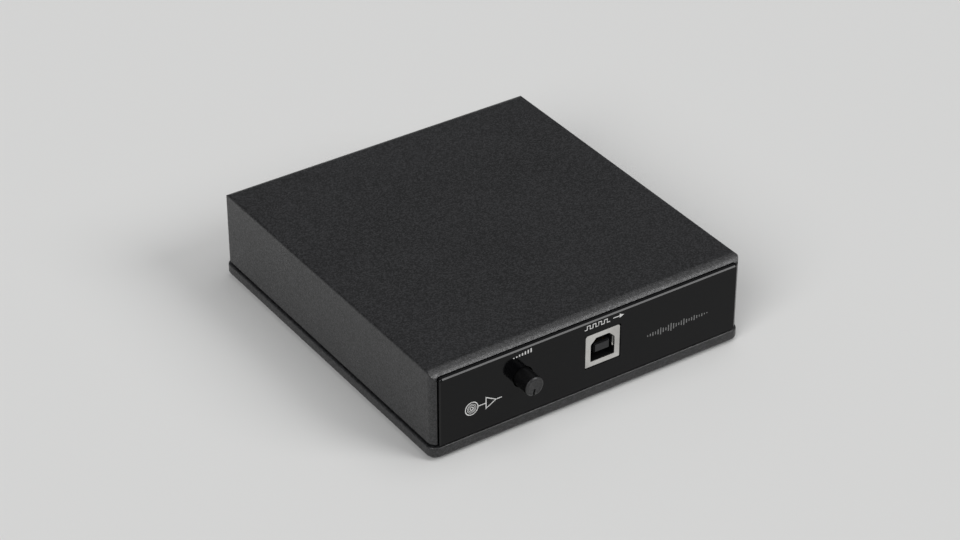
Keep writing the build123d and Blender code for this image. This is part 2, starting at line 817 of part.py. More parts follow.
# ---- Phono and line sockets --------------------------------------------------------
# Two moulded blocks hold two sockets each. A socket is a plated barrel with its
# earth leg, a coloured insulator inside the barrel, and a spring cup for the pin.
barrel_end_y = bay_rear_y + barrel_reach
barrel_back_y = rear_inside_y - barrel_sink
cup_back_y = barrel_back_y - cup_length
collar_front_y = rear_inside_y - collar_thickness
stem_wall_middle = (barrel_stem_radius + barrel_bore_radius) / 2
barrel_leg_y = (barrel_back_y + collar_front_y) / 2
cup_leg_y = cup_back_y + socket_leg_thickness / 2

for name, centre_x in {"line_out_block": -block_x, "phono_in_block": block_x}.items():
    own_sockets = [x for x in sockets.values() if x * centre_x > 0]
    with BuildPart() as block:
        with BuildSketch(upright(rear_inside_y)) as block_view:
            with Locations((centre_x, board_top_z)):
                Rectangle(
                    block_width,
                    socket_axis_height + socket_block_crown,
                    align=(Align.CENTER, Align.MIN),
                )
            fillet(block_view.vertices().group_by(Axis.Y)[-1], radius=socket_block_edge)
        extrude(amount=socket_block_depth)
        for radius, start_y, end_y in (
            (collar_radius, collar_front_y, rear_inside_y),
            (barrel_stem_radius, barrel_back_y, collar_front_y),
            (cup_radius, cup_back_y, barrel_back_y),
        ):
            with BuildSketch(upright(start_y)):
                with Locations(*[(x, socket_z) for x in own_sockets]):
                    Circle(radius + seat_slip)
            extrude(amount=start_y - end_y, mode=Mode.SUBTRACT)
        # Channels for the legs.
        with BuildSketch(Plane.XY.offset(board_top_z)):
            with Locations(*[(x, y) for x in own_sockets for y in (barrel_leg_y, cup_leg_y)]):
                Rectangle(
                    socket_leg_width + 2 * seat_slip,
                    socket_leg_thickness + 2 * seat_slip,
                )
        extrude(amount=socket_axis_height, mode=Mode.SUBTRACT)
        # The screw that pulls the block against the panel.
        with BuildSketch(upright(rear_inside_y)):
            with Locations((centre_x, socket_z + block_screw_rise)):
                Circle(screw_core_radius + thread_slip)
        extrude(amount=pilot_depth, mode=Mode.SUBTRACT)
    save(block.part, name)

for name, x in sockets.items():
    with BuildPart() as barrel:
        with BuildSketch(lengthwise(x, socket_z)):
            with BuildLine():
                Polyline(
                    (barrel_back_y, barrel_bore_radius),
                    (barrel_back_y, barrel_stem_radius),
                    (collar_front_y, barrel_stem_radius),
                    (collar_front_y, collar_radius),
                    (rear_inside_y, collar_radius),
                    (rear_inside_y, barrel_root_radius),
                    (bay_rear_y, barrel_root_radius),
                    (bay_rear_y, barrel_radius),
                    (barrel_end_y - barrel_chamfer, barrel_radius),
                    (barrel_end_y, barrel_radius - barrel_chamfer),
                    (barrel_end_y, barrel_bore_radius),
                    close=True,
                )
            make_face()
        revolve(axis=lengthwise_axis(x, socket_z))
        with BuildSketch(Plane.XY.offset(leg_end_z)):
            with Locations((x, barrel_leg_y)):
                Rectangle(socket_leg_width, socket_leg_thickness)
        extrude(amount=socket_z - stem_wall_middle - leg_end_z)
    save(barrel.part, f"{name}_barrel")

    with BuildPart() as insulator:
        with BuildSketch(upright(barrel_back_y)):
            with Locations((x, socket_z)):
                Circle(barrel_bore_radius - seat_slip)
                Circle(pin_bore_radius, mode=Mode.SUBTRACT)
        extrude(amount=barrel_back_y - barrel_end_y + insulator_setback)
    save(insulator.part, f"{name}_insulator")

    with BuildPart() as cup:
        with BuildSketch(upright(barrel_back_y)):
            with Locations((x, socket_z)):
                Circle(cup_radius)
                Circle(pin_bore_radius, mode=Mode.SUBTRACT)
        extrude(amount=cup_length)
        with BuildSketch(Plane.XY.offset(leg_end_z)):
            with Locations((x, cup_leg_y)):
                Rectangle(socket_leg_width, socket_leg_thickness)
        extrude(amount=socket_z - pin_bore_radius - leg_end_z)
        with BuildSketch(upright(cup_back_y)):
            with Locations((x, socket_z)):
                Circle(pin_bore_radius)
        extrude(amount=-cup_length, mode=Mode.SUBTRACT)
    save(cup.part, f"{name}_contact")

# Pan-head screws hold the two blocks to the rear panel.
with BuildPart() as socket_screws:
    for x in (-block_x, block_x):
        axis_z = socket_z + block_screw_rise
        screw_tip_y = rear_inside_y - pilot_depth + screw_core_radius
        with BuildSketch(lengthwise(x, axis_z)) as screw_view:
            with BuildLine():
                Polyline(
                    (screw_tip_y, 0),
                    (screw_tip_y + screw_core_radius, screw_core_radius),
                    (bay_rear_y, screw_core_radius),
                    (bay_rear_y, block_screw_radius),
                    (bay_rear_y + block_screw_head, block_screw_radius),
                    (bay_rear_y + block_screw_head, 0),
                    close=True,
                )
            make_face()
            head_rim = screw_view.vertices().group_by(Axis.X)[-1].sort_by(Axis.Y)[-1]
            chamfer(head_rim, length=head_chamfer)
        revolve(axis=lengthwise_axis(x, axis_z))
    with BuildSketch(upright(bay_rear_y + block_screw_head)):
        with Locations(*[(x, socket_z + block_screw_rise) for x in (-block_x, block_x)]):
            Rectangle(recess_length, recess_width)
            Rectangle(recess_width, recess_length)
    extrude(amount=recess_depth, mode=Mode.SUBTRACT)
save(socket_screws.part, "socket_screws")

# ---- Ground post ---------------------------------------------------------------------
# A stud through the rear panel, held by a bracket inside and a thin nut outside.
# The knurled thumb nut and its washer run on the free end.
bracket_y = rear_inside_y - bracket_thickness
stud_end_y = bay_rear_y + stud_reach
lock_nut_end_y = bay_rear_y + lock_nut_height
washer_y = lock_nut_end_y + washer_room
thumb_nut_y = washer_y + washer_thickness + thumb_nut_room
bracket_leg_y = rear_inside_y - bracket_foot / 2
bracket_leg_offset = (bracket_width - bracket_thickness) / 2

with BuildPart() as ground_bracket:
    with BuildSketch(Plane.YZ.offset(ground_x - bracket_width / 2)):
        with BuildLine():
            Polyline(
                (rear_inside_y, board_top_z),
                (rear_inside_y, ground_z + bracket_crown),
                (bracket_y, ground_z + bracket_crown),
                (bracket_y, board_top_z + bracket_thickness),
                (rear_inside_y - bracket_foot, board_top_z + bracket_thickness),
                (rear_inside_y - bracket_foot, board_top_z),
                close=True,
            )
        make_face()
    extrude(amount=bracket_width)
    with BuildSketch(Plane.XY.offset(leg_end_z)):
        for side in (-1, 1):
            with Locations((ground_x + side * bracket_leg_offset, bracket_leg_y)):
                Rectangle(bracket_thickness, socket_leg_width)
    extrude(amount=board_top_z - leg_end_z)
    with BuildSketch(upright(rear_inside_y)):
        with Locations((ground_x, ground_z)):
            Circle(stud_radius + stud_slip)
    extrude(amount=bracket_thickness, mode=Mode.SUBTRACT)
save(ground_bracket.part, "ground_bracket")

with BuildPart() as ground_stud:
    with BuildSketch(lengthwise(ground_x, ground_z)):
        with BuildLine():
            Polyline(
                (bracket_y - stud_head_height, 0),
                (bracket_y - stud_head_height, stud_head_radius),
                (bracket_y, stud_head_radius),
                (bracket_y, stud_radius),
                (stud_end_y - barrel_chamfer, stud_radius),
                (stud_end_y, stud_radius - barrel_chamfer),
                (stud_end_y, 0),
                close=True,
            )
        make_face()
    revolve(axis=lengthwise_axis(ground_x, ground_z))
save(ground_stud.part, "ground_stud")

with BuildPart() as ground_lock_nut:
    with BuildSketch(upright(bay_rear_y)):
        with Locations((ground_x, ground_z)):
            RegularPolygon(lock_nut_width / 2, 6, major_radius=False)
            Circle(stud_radius + stud_slip, mode=Mode.SUBTRACT)
    extrude(amount=-lock_nut_height)
save(ground_lock_nut.part, "ground_lock_nut")

with BuildPart() as ground_washer:
    with BuildSketch(upright(washer_y)):
        with Locations((ground_x, ground_z)):
            Circle(washer_radius)
            Circle(washer_bore_radius, mode=Mode.SUBTRACT)
    extrude(amount=-washer_thickness)
save(ground_washer.part, "ground_washer")

with BuildPart() as ground_nut:
    with BuildSketch(upright(thumb_nut_y)):
        with Locations((ground_x, ground_z)):
            Circle(thumb_nut_hub_radius)
    extrude(amount=-thumb_nut_hub_height)
    with BuildSketch(upright(thumb_nut_y + thumb_nut_hub_height)):
        with Locations((ground_x, ground_z)):
            Circle(thumb_nut_radius)
    extrude(amount=thumb_nut_hub_height - thumb_nut_height)
    head_edges = ground_nut.edges().filter_by(GeomType.CIRCLE)
    chamfer(
        head_edges.filter_by(lambda edge: edge.radius > thumb_nut_hub_radius + knurl_depth),
        length=thumb_nut_chamfer,
    )
    # Straight knurling: V grooves all round the head.
    with BuildSketch(upright(thumb_nut_y + thumb_nut_hub_height)):
        with Locations((ground_x, ground_z)):
            with PolarLocations(thumb_nut_radius, knurl_count):
                Rectangle(knurl_groove, knurl_groove, rotation=45)
    extrude(amount=thumb_nut_hub_height - thumb_nut_height, mode=Mode.SUBTRACT)
    with BuildSketch(upright(thumb_nut_y)):
        with Locations((ground_x, ground_z)):
            Circle(stud_radius + thumb_nut_slip)
    extrude(amount=-thumb_nut_height, mode=Mode.SUBTRACT)
save(ground_nut.part, "ground_nut")

# ---- Power socket ----------------------------------------------------------------------
# A moulded barrel socket whose nose comes through the panel. It has a centre pin
# and a leaf spring under the bore, both with a leg through the board.
jack_back_y = rear_inside_y - jack_depth
jack_floor_y = bay_rear_y - jack_bore_depth
jack_leg_y = jack_back_y - jack_leg_thickness / 2
spring_end_y = rear_inside_y - jack_spring_setback
spring_crest_y = (spring_end_y + jack_floor_y) / 2
spring_z = jack_z - jack_bore_radius
spring_leg_y = jack_floor_y + jack_leg_thickness / 2

with BuildPart() as jack_housing:
    with BuildSketch(upright(rear_inside_y)) as jack_view:
        with Locations((jack_x, board_top_z)):
            Rectangle(jack_width, jack_axis_height + jack_crown, align=(Align.CENTER, Align.MIN))
        chamfer(jack_view.vertices().group_by(Axis.Y)[-1], length=jack_chamfer)
    extrude(amount=jack_depth)
    with BuildSketch(upright(bay_rear_y)):
        with Locations((jack_x, jack_z)):
            Circle(jack_nose_radius)
    extrude(amount=rear_plate)
    with BuildSketch(upright(bay_rear_y)):
        with Locations((jack_x, jack_z)):
            Circle(jack_bore_radius)
    extrude(amount=jack_bore_depth, mode=Mode.SUBTRACT)
    with BuildSketch(upright(jack_floor_y)):
        with Locations((jack_x, jack_z)):
            Circle(jack_pin_radius + seat_slip)
    extrude(amount=jack_floor_y - jack_back_y, mode=Mode.SUBTRACT)
    # The spring's slot, open below.
    with BuildSketch(Plane.XY.offset(board_top_z)):
        with Locations((jack_x, jack_floor_y)):
            Rectangle(
                jack_spring_width + 2 * seat_slip,
                spring_end_y + seat_slip - jack_floor_y,
                align=(Align.CENTER, Align.MIN),
            )
    extrude(amount=jack_axis_height, mode=Mode.SUBTRACT)
save(jack_housing.part, "jack_housing")

with BuildPart() as jack_pin:
    with BuildSketch(upright(bay_rear_y - jack_pin_setback)):
        with Locations((jack_x, jack_z)):
            Circle(jack_pin_radius)
    extrude(amount=bay_rear_y - jack_pin_setback - jack_back_y)
    with BuildSketch(upright(jack_back_y)):
        with Locations((jack_x, leg_end_z)):
            Rectangle(
                jack_leg_width,
                jack_z + jack_pin_radius - leg_end_z,
                align=(Align.CENTER, Align.MIN),
            )
    extrude(amount=jack_leg_thickness)
save(jack_pin.part, "jack_pin")

with BuildPart() as jack_spring:
    with BuildSketch(Plane.YZ.offset(jack_x - jack_spring_width / 2)):
        with BuildLine():
            Polyline(
                (jack_floor_y, leg_end_z),
                (jack_floor_y, spring_z),
                (spring_crest_y, spring_z + jack_spring_rise),
                (spring_end_y, spring_z),
                (spring_end_y, spring_z - jack_leg_thickness),
                (spring_crest_y, spring_z + jack_spring_rise - jack_leg_thickness),
                (jack_floor_y + jack_leg_thickness, spring_z - jack_leg_thickness),
                (jack_floor_y + jack_leg_thickness, leg_end_z),
                close=True,
            )
        make_face()
    extrude(amount=jack_spring_width)
save(jack_spring.part, "jack_spring")

# ---- Circuit board -------------------------------------------------------------------------
# It fills the tray, is notched round the cover's bosses, and has a slot for each leg.
legs = [
    (level_x - bracket_leg_x, pot_y + pot_plate / 2, pot_bracket_leg, pot_plate),
    (level_x + bracket_leg_x, pot_y + pot_plate / 2, pot_bracket_leg, pot_plate),
    (jack_x, jack_leg_y, jack_leg_width, jack_leg_thickness),
    (jack_x, spring_leg_y, jack_spring_width, jack_leg_thickness),
]
for x, y in pot_leg_places:
    legs.append((x, y + pot_leg_thickness / 2, pot_leg_width, pot_leg_thickness))
for x in sockets.values():
    legs.append((x, barrel_leg_y, socket_leg_width, socket_leg_thickness))
    legs.append((x, cup_leg_y, socket_leg_width, socket_leg_thickness))
for side in (-1, 1):
    tab_x = usb_x + side * (usb_width - usb_sheet) / 2
    legs.append((tab_x, usb_tab_y, usb_sheet, usb_tab_width))
    bracket_leg_x_place = ground_x + side * bracket_leg_offset
    legs.append((bracket_leg_x_place, bracket_leg_y, bracket_thickness, socket_leg_width))
    for tail_y in (upper_tail_y, lower_tail_y):
        tail_x = usb_x + side * contact_pitch / 2
        legs.append((tail_x, tail_y - contact_thickness / 2, contact_width, contact_thickness))

board_middle_y = (board_front_y + board_rear_y) / 2
notch_side = boss_radius + boss_room
with BuildPart() as circuit_board:
    with BuildSketch(Plane.XY.offset(board_z)):
        with Locations((0, board_middle_y)):
            Rectangle(board_width, board_depth)
        for x, y in boss_places:
            corner_x = board_width / 2 if x > 0 else -board_width / 2
            corner_y = board_rear_y if y > middle_y else board_front_y
            reach_x = abs(corner_x - x) + notch_side
            reach_y = abs(corner_y - y) + notch_side
            corner_align = (
                Align.MAX if x > 0 else Align.MIN,
                Align.MAX if y > middle_y else Align.MIN,
            )
            with Locations((corner_x, corner_y)):
                Rectangle(reach_x, reach_y, align=corner_align, mode=Mode.SUBTRACT)
        with Locations(*standoff_places):
            Circle(screw_hole_radius, mode=Mode.SUBTRACT)
        for x, y, leg_width, leg_depth in legs:
            with Locations((x, y)):
                Rectangle(leg_width + 2 * leg_room, leg_depth + 2 * leg_room, mode=Mode.SUBTRACT)
    extrude(amount=board_thickness)
save(circuit_board.part, "circuit_board")

# Pan-head screws hold the board to the standoffs.
with BuildPart() as board_screws:
    tip_z = board_z - board_screw_bite
    for x, y in standoff_places:
        with BuildSketch(standing(x, y)) as screw_view:
            with BuildLine():
                Polyline(
                    (0, tip_z),
                    (screw_core_radius, tip_z + screw_core_radius),
                    (screw_core_radius, board_top_z),
                    (pan_head_radius, board_top_z),
                    (pan_head_radius, board_top_z + pan_head_height),
                    (0, board_top_z + pan_head_height),
                    close=True,
                )
            make_face()
            head_rim = screw_view.vertices().group_by(Axis.Y)[-1].sort_by(Axis.X)[-1]
            chamfer(head_rim, length=head_chamfer)
        revolve(axis=standing_axis(x, y))
    with BuildSketch(Plane.XY.offset(board_top_z + pan_head_height)):
        with Locations(*standoff_places):
            Rectangle(recess_length, recess_width)
            Rectangle(recess_width, recess_length)
    extrude(amount=-recess_depth, mode=Mode.SUBTRACT)
save(board_screws.part, "board_screws")

# ---- Parts on the board ---------------------------------------------------------------------
# Each place is a share of the board's width and of its depth, from its middle.
supply_shares = [(-0.325, 0.167), (-0.325, 0.055)]
coupling_shares = [(0.02, 0.204), (0.12, 0.204), (0.22, 0.204), (0.32, 0.204)]
film_shares = [(0.06, 0.111), (0.06, 0.037), (0.295, 0.111), (0.295, 0.037)]
input_opamp_share = (0.177, 0.074)
output_opamp_share = (-0.1, 0.074)
codec_share = (0.03, -0.222)
crystal_share = (0.18, -0.222)
regulator_share = (-0.325, -0.074)
relay_share = (-0.147, 0.222)
choke_share = (-0.206, 0.13)
resistor_row_share = (0, -0.074)


def on_board(share):
    """The point on the board that is that share of its width and depth from its middle."""
    return share[0] * board_width, board_middle_y + share[1] * board_depth


for name, shares, radius, height in (
    ("supply_capacitors", supply_shares, supply_can_radius, supply_can_height),
    ("coupling_capacitors", coupling_shares, coupling_can_radius, coupling_can_height),
):
    # Rolled aluminium cans, each with a groove round its foot.
    with BuildPart() as cans:
        for share in shares:
            x, y = on_board(share)
            with BuildSketch(standing(x, y)) as can_view:
                with BuildLine():
                    Polyline(
                        (0, board_top_z),
                        (radius, board_top_z),
                        (radius, board_top_z + can_groove_height),
                        (radius - can_groove_depth, board_top_z + can_groove_height + can_groove_depth),
                        (radius, board_top_z + can_groove_height + 2 * can_groove_depth),
                        (radius, board_top_z + height),
                        (0, board_top_z + height),
                        close=True,
                    )
                make_face()
                can_rim = can_view.vertices().group_by(Axis.Y)[-1].sort_by(Axis.X)[-1]
                chamfer(can_rim, length=can_chamfer)
            revolve(axis=standing_axis(x, y))
    save(cans.part, name)

with BuildPart() as film_capacitors:
    with BuildSketch(Plane.XY.offset(board_top_z)):
        with Locations(*[on_board(share) for share in film_shares]):
            RectangleRounded(film_length, film_thickness, film_edge_radius)
    extrude(amount=film_height)
save(film_capacitors.part, "film_capacitors")

# Two eight-legged amplifier packages; the legs splay out of the sides and turn down.
for name, share in {"input_opamp": input_opamp_share, "output_opamp": output_opamp_share}.items():
    x, package_y = on_board(share)
    leg_top_z = board_top_z + opamp_lift + opamp_height / 2
    with BuildPart() as opamp:
        with BuildSketch(Plane.XY.offset(board_top_z + opamp_lift)):
            with Locations((x, package_y)):
                Rectangle(opamp_length, opamp_width)
        extrude(amount=opamp_height)
        with BuildSketch(Plane.XY.offset(board_top_z + opamp_lift + opamp_height)):
            with Locations((x - opamp_length / 2, package_y)):
                Circle(opamp_key_radius)
        extrude(amount=-opamp_key_depth, mode=Mode.SUBTRACT)
        with BuildSketch(Plane.XY.offset(leg_top_z)):
            with Locations((x, package_y)):
                with GridLocations(opamp_leg_pitch, 0, 4, 1):
                    Rectangle(opamp_leg_width, opamp_row_pitch + opamp_leg_thickness)
        extrude(amount=opamp_leg_thickness)
        with BuildSketch(Plane.XY.offset(board_top_z)):
            with Locations((x, package_y)):
                with GridLocations(opamp_leg_pitch, opamp_row_pitch, 4, 2):
                    Rectangle(opamp_leg_width, opamp_leg_thickness)
        extrude(amount=leg_top_z - board_top_z)
    save(opamp.part, name)

with BuildPart() as usb_codec:
    codec_x, codec_y = on_board(codec_share)
    with BuildSketch(Plane.XY.offset(board_top_z)):
        with Locations((codec_x, codec_y)):
            with GridLocations(codec_leg_pitch, 0, codec_leg_count, 1):
                Rectangle(codec_leg_width, codec_width + 2 * codec_leg_reach)
    extrude(amount=codec_leg_thickness)
    with BuildSketch(Plane.XY.offset(board_top_z)):
        with Locations((codec_x, codec_y)):
            Rectangle(codec_length, codec_width)
    extrude(amount=codec_height)
save(usb_codec.part, "usb_codec")

with BuildPart() as crystal:
    crystal_x, crystal_y = on_board(crystal_share)
    with BuildSketch(Plane.XY.offset(board_top_z)):
        with Locations((crystal_x, crystal_y)):
            SlotOverall(crystal_length, crystal_width)
    extrude(amount=crystal_flange)
    with BuildSketch(Plane.XY.offset(board_top_z)):
        with Locations((crystal_x, crystal_y)):
            SlotOverall(crystal_length - 2 * crystal_flange_rim, crystal_width - 2 * crystal_flange_rim)
    extrude(amount=crystal_height)
save(crystal.part, "crystal")

with BuildPart() as voltage_regulator:
    regulator_x, regulator_y = on_board(regulator_share)
    with BuildSketch(Plane.XY.offset(board_top_z)):
        with Locations((regulator_x, regulator_y)):
            Rectangle(regulator_width, regulator_length)
    extrude(amount=regulator_height)
    with BuildSketch(Plane.XY.offset(board_top_z)):
        with Locations((regulator_x, regulator_y + regulator_length / 2)):
            Rectangle(regulator_width, regulator_tab, align=(Align.CENTER, Align.MIN))
        with Locations((regulator_x, regulator_y - regulator_length / 2)):
            with GridLocations(regulator_leg_pitch, 0, 2, 1):
                Rectangle(regulator_leg_width, regulator_leg_reach, align=(Align.CENTER, Align.MAX))
    extrude(amount=regulator_tab_thickness)
save(voltage_regulator.part, "voltage_regulator")

with BuildPart() as mute_relay:
    relay_x, relay_y = on_board(relay_share)
    with BuildSketch(Plane.XY.offset(board_top_z)):
        with Locations((relay_x, relay_y)):
            RectangleRounded(relay_length, relay_width, relay_edge_radius)
    extrude(amount=relay_height)
    chamfer(mute_relay.faces().sort_by(Axis.Z)[-1].edges(), length=relay_edge_radius / 2)
save(mute_relay.part, "mute_relay")

with BuildPart() as filter_choke:
    choke_x, choke_y = on_board(choke_share)
    with BuildSketch(standing(choke_x, choke_y)):
        with BuildLine():
            Polyline(
                (0, board_top_z),
                (choke_radius, board_top_z),
                (choke_radius, board_top_z + choke_rim),
                (choke_waist_radius, board_top_z + choke_rim),
                (choke_waist_radius, board_top_z + choke_height - choke_rim),
                (choke_radius, board_top_z + choke_height - choke_rim),
                (choke_radius, board_top_z + choke_height),
                (0, board_top_z + choke_height),
                close=True,
            )
        make_face()
    revolve(axis=standing_axis(choke_x, choke_y))
save(filter_choke.part, "filter_choke")

# Axial resistors lie along Y, each on one wire bent down at both ends.
with BuildPart() as resistors:
    row_x, resistor_y = on_board(resistor_row_share)
    for place in range(resistor_count):
        x = row_x + resistor_pitch * (place - (resistor_count - 1) / 2)
        resistor_z = board_top_z + resistor_radius
        wire_end_y = resistor_span / 2
        wire_top_z = resistor_z + resistor_wire / 2
        end_y = resistor_length / 2
        waist_y = end_y - resistor_end_length
        with BuildSketch(Plane.YZ.offset(x - resistor_wire / 2)):
            with Locations((resistor_y, board_top_z)):
                Rectangle(
                    resistor_span, wire_top_z - board_top_z, align=(Align.CENTER, Align.MIN)
                )
                Rectangle(
                    resistor_span - 2 * resistor_wire,
                    wire_top_z - board_top_z - resistor_wire,
                    align=(Align.CENTER, Align.MIN),
                    mode=Mode.SUBTRACT,
                )
        extrude(amount=resistor_wire)
        with BuildSketch(lengthwise(x, resistor_z)):
            with BuildLine():
                Polyline(
                    (resistor_y - end_y, 0),
                    (resistor_y - end_y, resistor_radius),
                    (resistor_y - waist_y, resistor_radius),
                    (resistor_y - waist_y, resistor_waist_radius),
                    (resistor_y + waist_y, resistor_waist_radius),
                    (resistor_y + waist_y, resistor_radius),
                    (resistor_y + end_y, resistor_radius),
                    (resistor_y + end_y, 0),
                    close=True,
                )
            make_face()
        revolve(axis=lengthwise_axis(x, resistor_z))
save(resistors.part, "resistors")
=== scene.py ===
import math

import bmesh
import bpy
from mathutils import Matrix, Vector


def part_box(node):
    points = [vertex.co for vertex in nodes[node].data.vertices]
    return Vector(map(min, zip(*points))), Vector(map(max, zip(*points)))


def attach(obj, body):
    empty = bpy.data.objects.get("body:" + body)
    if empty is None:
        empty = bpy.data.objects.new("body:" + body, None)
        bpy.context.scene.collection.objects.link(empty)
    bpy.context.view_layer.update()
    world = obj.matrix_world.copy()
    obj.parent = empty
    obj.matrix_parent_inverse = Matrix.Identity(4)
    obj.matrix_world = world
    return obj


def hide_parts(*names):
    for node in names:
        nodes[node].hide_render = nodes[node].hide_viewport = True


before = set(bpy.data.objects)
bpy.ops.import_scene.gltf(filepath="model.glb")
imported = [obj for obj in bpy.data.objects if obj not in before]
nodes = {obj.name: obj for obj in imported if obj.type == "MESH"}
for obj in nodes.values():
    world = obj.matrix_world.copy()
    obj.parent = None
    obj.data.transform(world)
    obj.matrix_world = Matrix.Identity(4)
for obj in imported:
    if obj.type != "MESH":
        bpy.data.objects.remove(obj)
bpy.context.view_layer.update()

# ---- Base tray ---------------------------------------
# A shallow tray of black ABS, moulded with a fine spark-eroded grain outside. Side
# lips stand up inside the cover, low ribs hold the panels' lower edges, and four
# standoffs carry the circuit board.
mm = 0.001


def rounded(left, right, low, high, *radii, steps=10):
    """A rectangle's outline, its corner radii given from the lower left one round to the right."""
    corners = ((left, low, 1, 1), (right, low, -1, 1), (right, high, -1, -1), (left, high, 1, -1))
    outline = []
    for corner, (x, y, across, up) in enumerate(corners):
        radius = radii[corner % len(radii)]
        for step in range(steps + 1 if radius else 1):
            turn = math.radians(180 + 90 * (corner + step / steps))
            outline.append(
                (
                    x + radius * (across + math.cos(turn) if radius else 0),
                    y + radius * (up + math.sin(turn) if radius else 0),
                )
            )
    return outline


def ring(x, y, radius, steps=48, turned=0.0):
    """A circle's outline, or a regular polygon's where the steps are few."""
    turns = (math.radians(turned) + math.tau * step / steps for step in range(steps))
    return [(x + radius * math.cos(turn), y + radius * math.sin(turn)) for turn in turns]


class Form:
    """A closed shape in millimetres, put together from pushed and turned outlines."""

    places = {
        "X": lambda a, b, along: (along, a, b),
        "Y": lambda a, b, along: (a, along, b),
        "Z": lambda a, b, along: (a, b, along),
    }

    def __init__(self):
        self.mesh = bmesh.new()

    def stack(self, axis, *layers):
        """Joins outlines of as many points each, given as (along, outline)."""
        place = self.places[axis]
        rows = [
            [self.mesh.verts.new(Vector(place(a, b, along)) * mm) for a, b in outline]
            for along, outline in layers
        ]
        faces = [self.mesh.faces.new(row) for row in (rows[0], rows[-1])]
        for near, far in zip(rows, rows[1:]):
            walls = [(near[i - 1], near[i], far[i], far[i - 1]) for i in range(len(near))]
            faces += [self.mesh.faces.new(corners) for corners in walls]
        bmesh.ops.recalc_face_normals(self.mesh, faces=faces)
        return self

    def push(self, outline, axis, start, end):
        """Pushes an outline straight along an axis."""
        return self.stack(axis, (start, outline), (end, outline))

    def turn(self, profile, axis, centre, steps=64):
        """Turns a closed profile of (along, radius) points round an axis through the centre."""
        place = self.places[axis]
        rows = []
        for along, radius in profile:
            points = ring(centre[0], centre[1], radius, steps) if radius else [centre] * steps
            rows.append([self.mesh.verts.new(Vector(place(a, b, along)) * mm) for a, b in points])
        faces = []
        for row, following in zip(rows, rows[1:] + rows[:1]):
            for i in range(steps):
                faces.append(self.mesh.faces.new((row[i - 1], row[i], following[i], following[i - 1])))
        bmesh.ops.remove_doubles(self.mesh, verts=sum(rows, []), dist=1e-7)
        bmesh.ops.dissolve_degenerate(self.mesh, edges=self.mesh.edges, dist=1e-8)
        bmesh.ops.recalc_face_normals(self.mesh, faces=self.mesh.faces)
        return self

    def round_edges(self, chosen, width, segments):
        """Rounds the edges for which chosen(one end, other end) is true, in millimetres."""
        edges = [e for e in self.mesh.edges if chosen(*(v.co / mm for v in e.verts))]
        bmesh.ops.bevel(
            self.mesh,
            geom=edges,
            offset=width * mm,
            offset_type="OFFSET",
            segments=segments,
            profile=0.5,
            affect="EDGES",
        )
        return self

    def piece(self, name):
        """The shape as an object."""
        data = bpy.data.meshes.new(name)
        self.mesh.to_mesh(data)
        self.mesh.free()
        made = bpy.data.objects.new(name, data)
        bpy.context.scene.collection.objects.link(made)
        return made


def settle(piece):
    """Works the piece's modifiers into its mesh."""
    bpy.context.view_layer.update()
    worked = bpy.data.meshes.new_from_object(
        piece.evaluated_get(bpy.context.evaluated_depsgraph_get())
    )
    piece.modifiers.clear()
    piece.data = worked
    return piece


def carve(piece, form, operation="DIFFERENCE"):
    """Cuts a form out of the piece, or joins the two, or keeps what they share."""
    tool = form.piece("tool")
    step = piece.modifiers.new("carve", "BOOLEAN")
    step.operation = operation
    step.solver = "EXACT"
    step.object = tool
    settle(piece)
    bpy.data.objects.remove(tool)


def clean(piece):
    """Merges the points that a cut or a rounding leaves on top of each other."""
    reach = 0.002 * mm
    work = bmesh.new()
    work.from_mesh(piece.data)
    bmesh.ops.remove_doubles(work, verts=work.verts, dist=reach)
    bmesh.ops.dissolve_degenerate(work, edges=work.edges, dist=reach)
    loose = [edge for edge in work.edges if not edge.link_faces]
    bmesh.ops.delete(work, geom=loose, context="EDGES")
    work.to_mesh(piece.data)
    work.free()


def soften(piece, width, smooth=40):
    """Gives the piece's sharp edges the small radius that a mould or a tumbler leaves."""
    clean(piece)
    if width:
        edge = piece.modifiers.new("edge", "BEVEL")
        edge.width = width * mm
        edge.segments = 2
        edge.limit_method = "ANGLE"
        edge.angle_limit = math.radians(32)
        edge.use_clamp_overlap = True
        settle(piece)
        clean(piece)
    for face in piece.data.polygons:
        face.use_smooth = True
    piece.data.set_sharp_from_angle(angle=math.radians(smooth))
    shading = piece.modifiers.new("shading", "WEIGHTED_NORMAL")
    shading.keep_sharp = True
    shading.weight = 80
    return settle(piece)


class Wire:
    """One output of a material's node, which sums are written with."""

    def __init__(self, tree, socket):
        self.tree = tree
        self.socket = socket

    def sum(self, operation, *values):
        maths = self.tree.nodes.new("ShaderNodeMath")
        maths.operation = operation
        for place, value in zip(maths.inputs, values):
            if isinstance(value, Wire):
                self.tree.links.new(value.socket, place)
            else:
                place.default_value = value
        return Wire(self.tree, maths.outputs[0])

    def __add__(self, other):
        return self.sum("ADD", self, other)

    def __sub__(self, other):
        return self.sum("SUBTRACT", self, other)

    def __rsub__(self, other):
        return self.sum("SUBTRACT", other, self)

    def __mul__(self, other):
        return self.sum("MULTIPLY", self, other)

    def __gt__(self, other):
        return self.sum("GREATER_THAN", self, other)

    def __lt__(self, other):
        return self.sum("LESS_THAN", self, other)

    def __mod__(self, other):
        return self.sum("FLOORED_MODULO", self, other)

    def __abs__(self):
        return self.sum("ABSOLUTE", self)

    __radd__ = __add__
    __rmul__ = __mul__


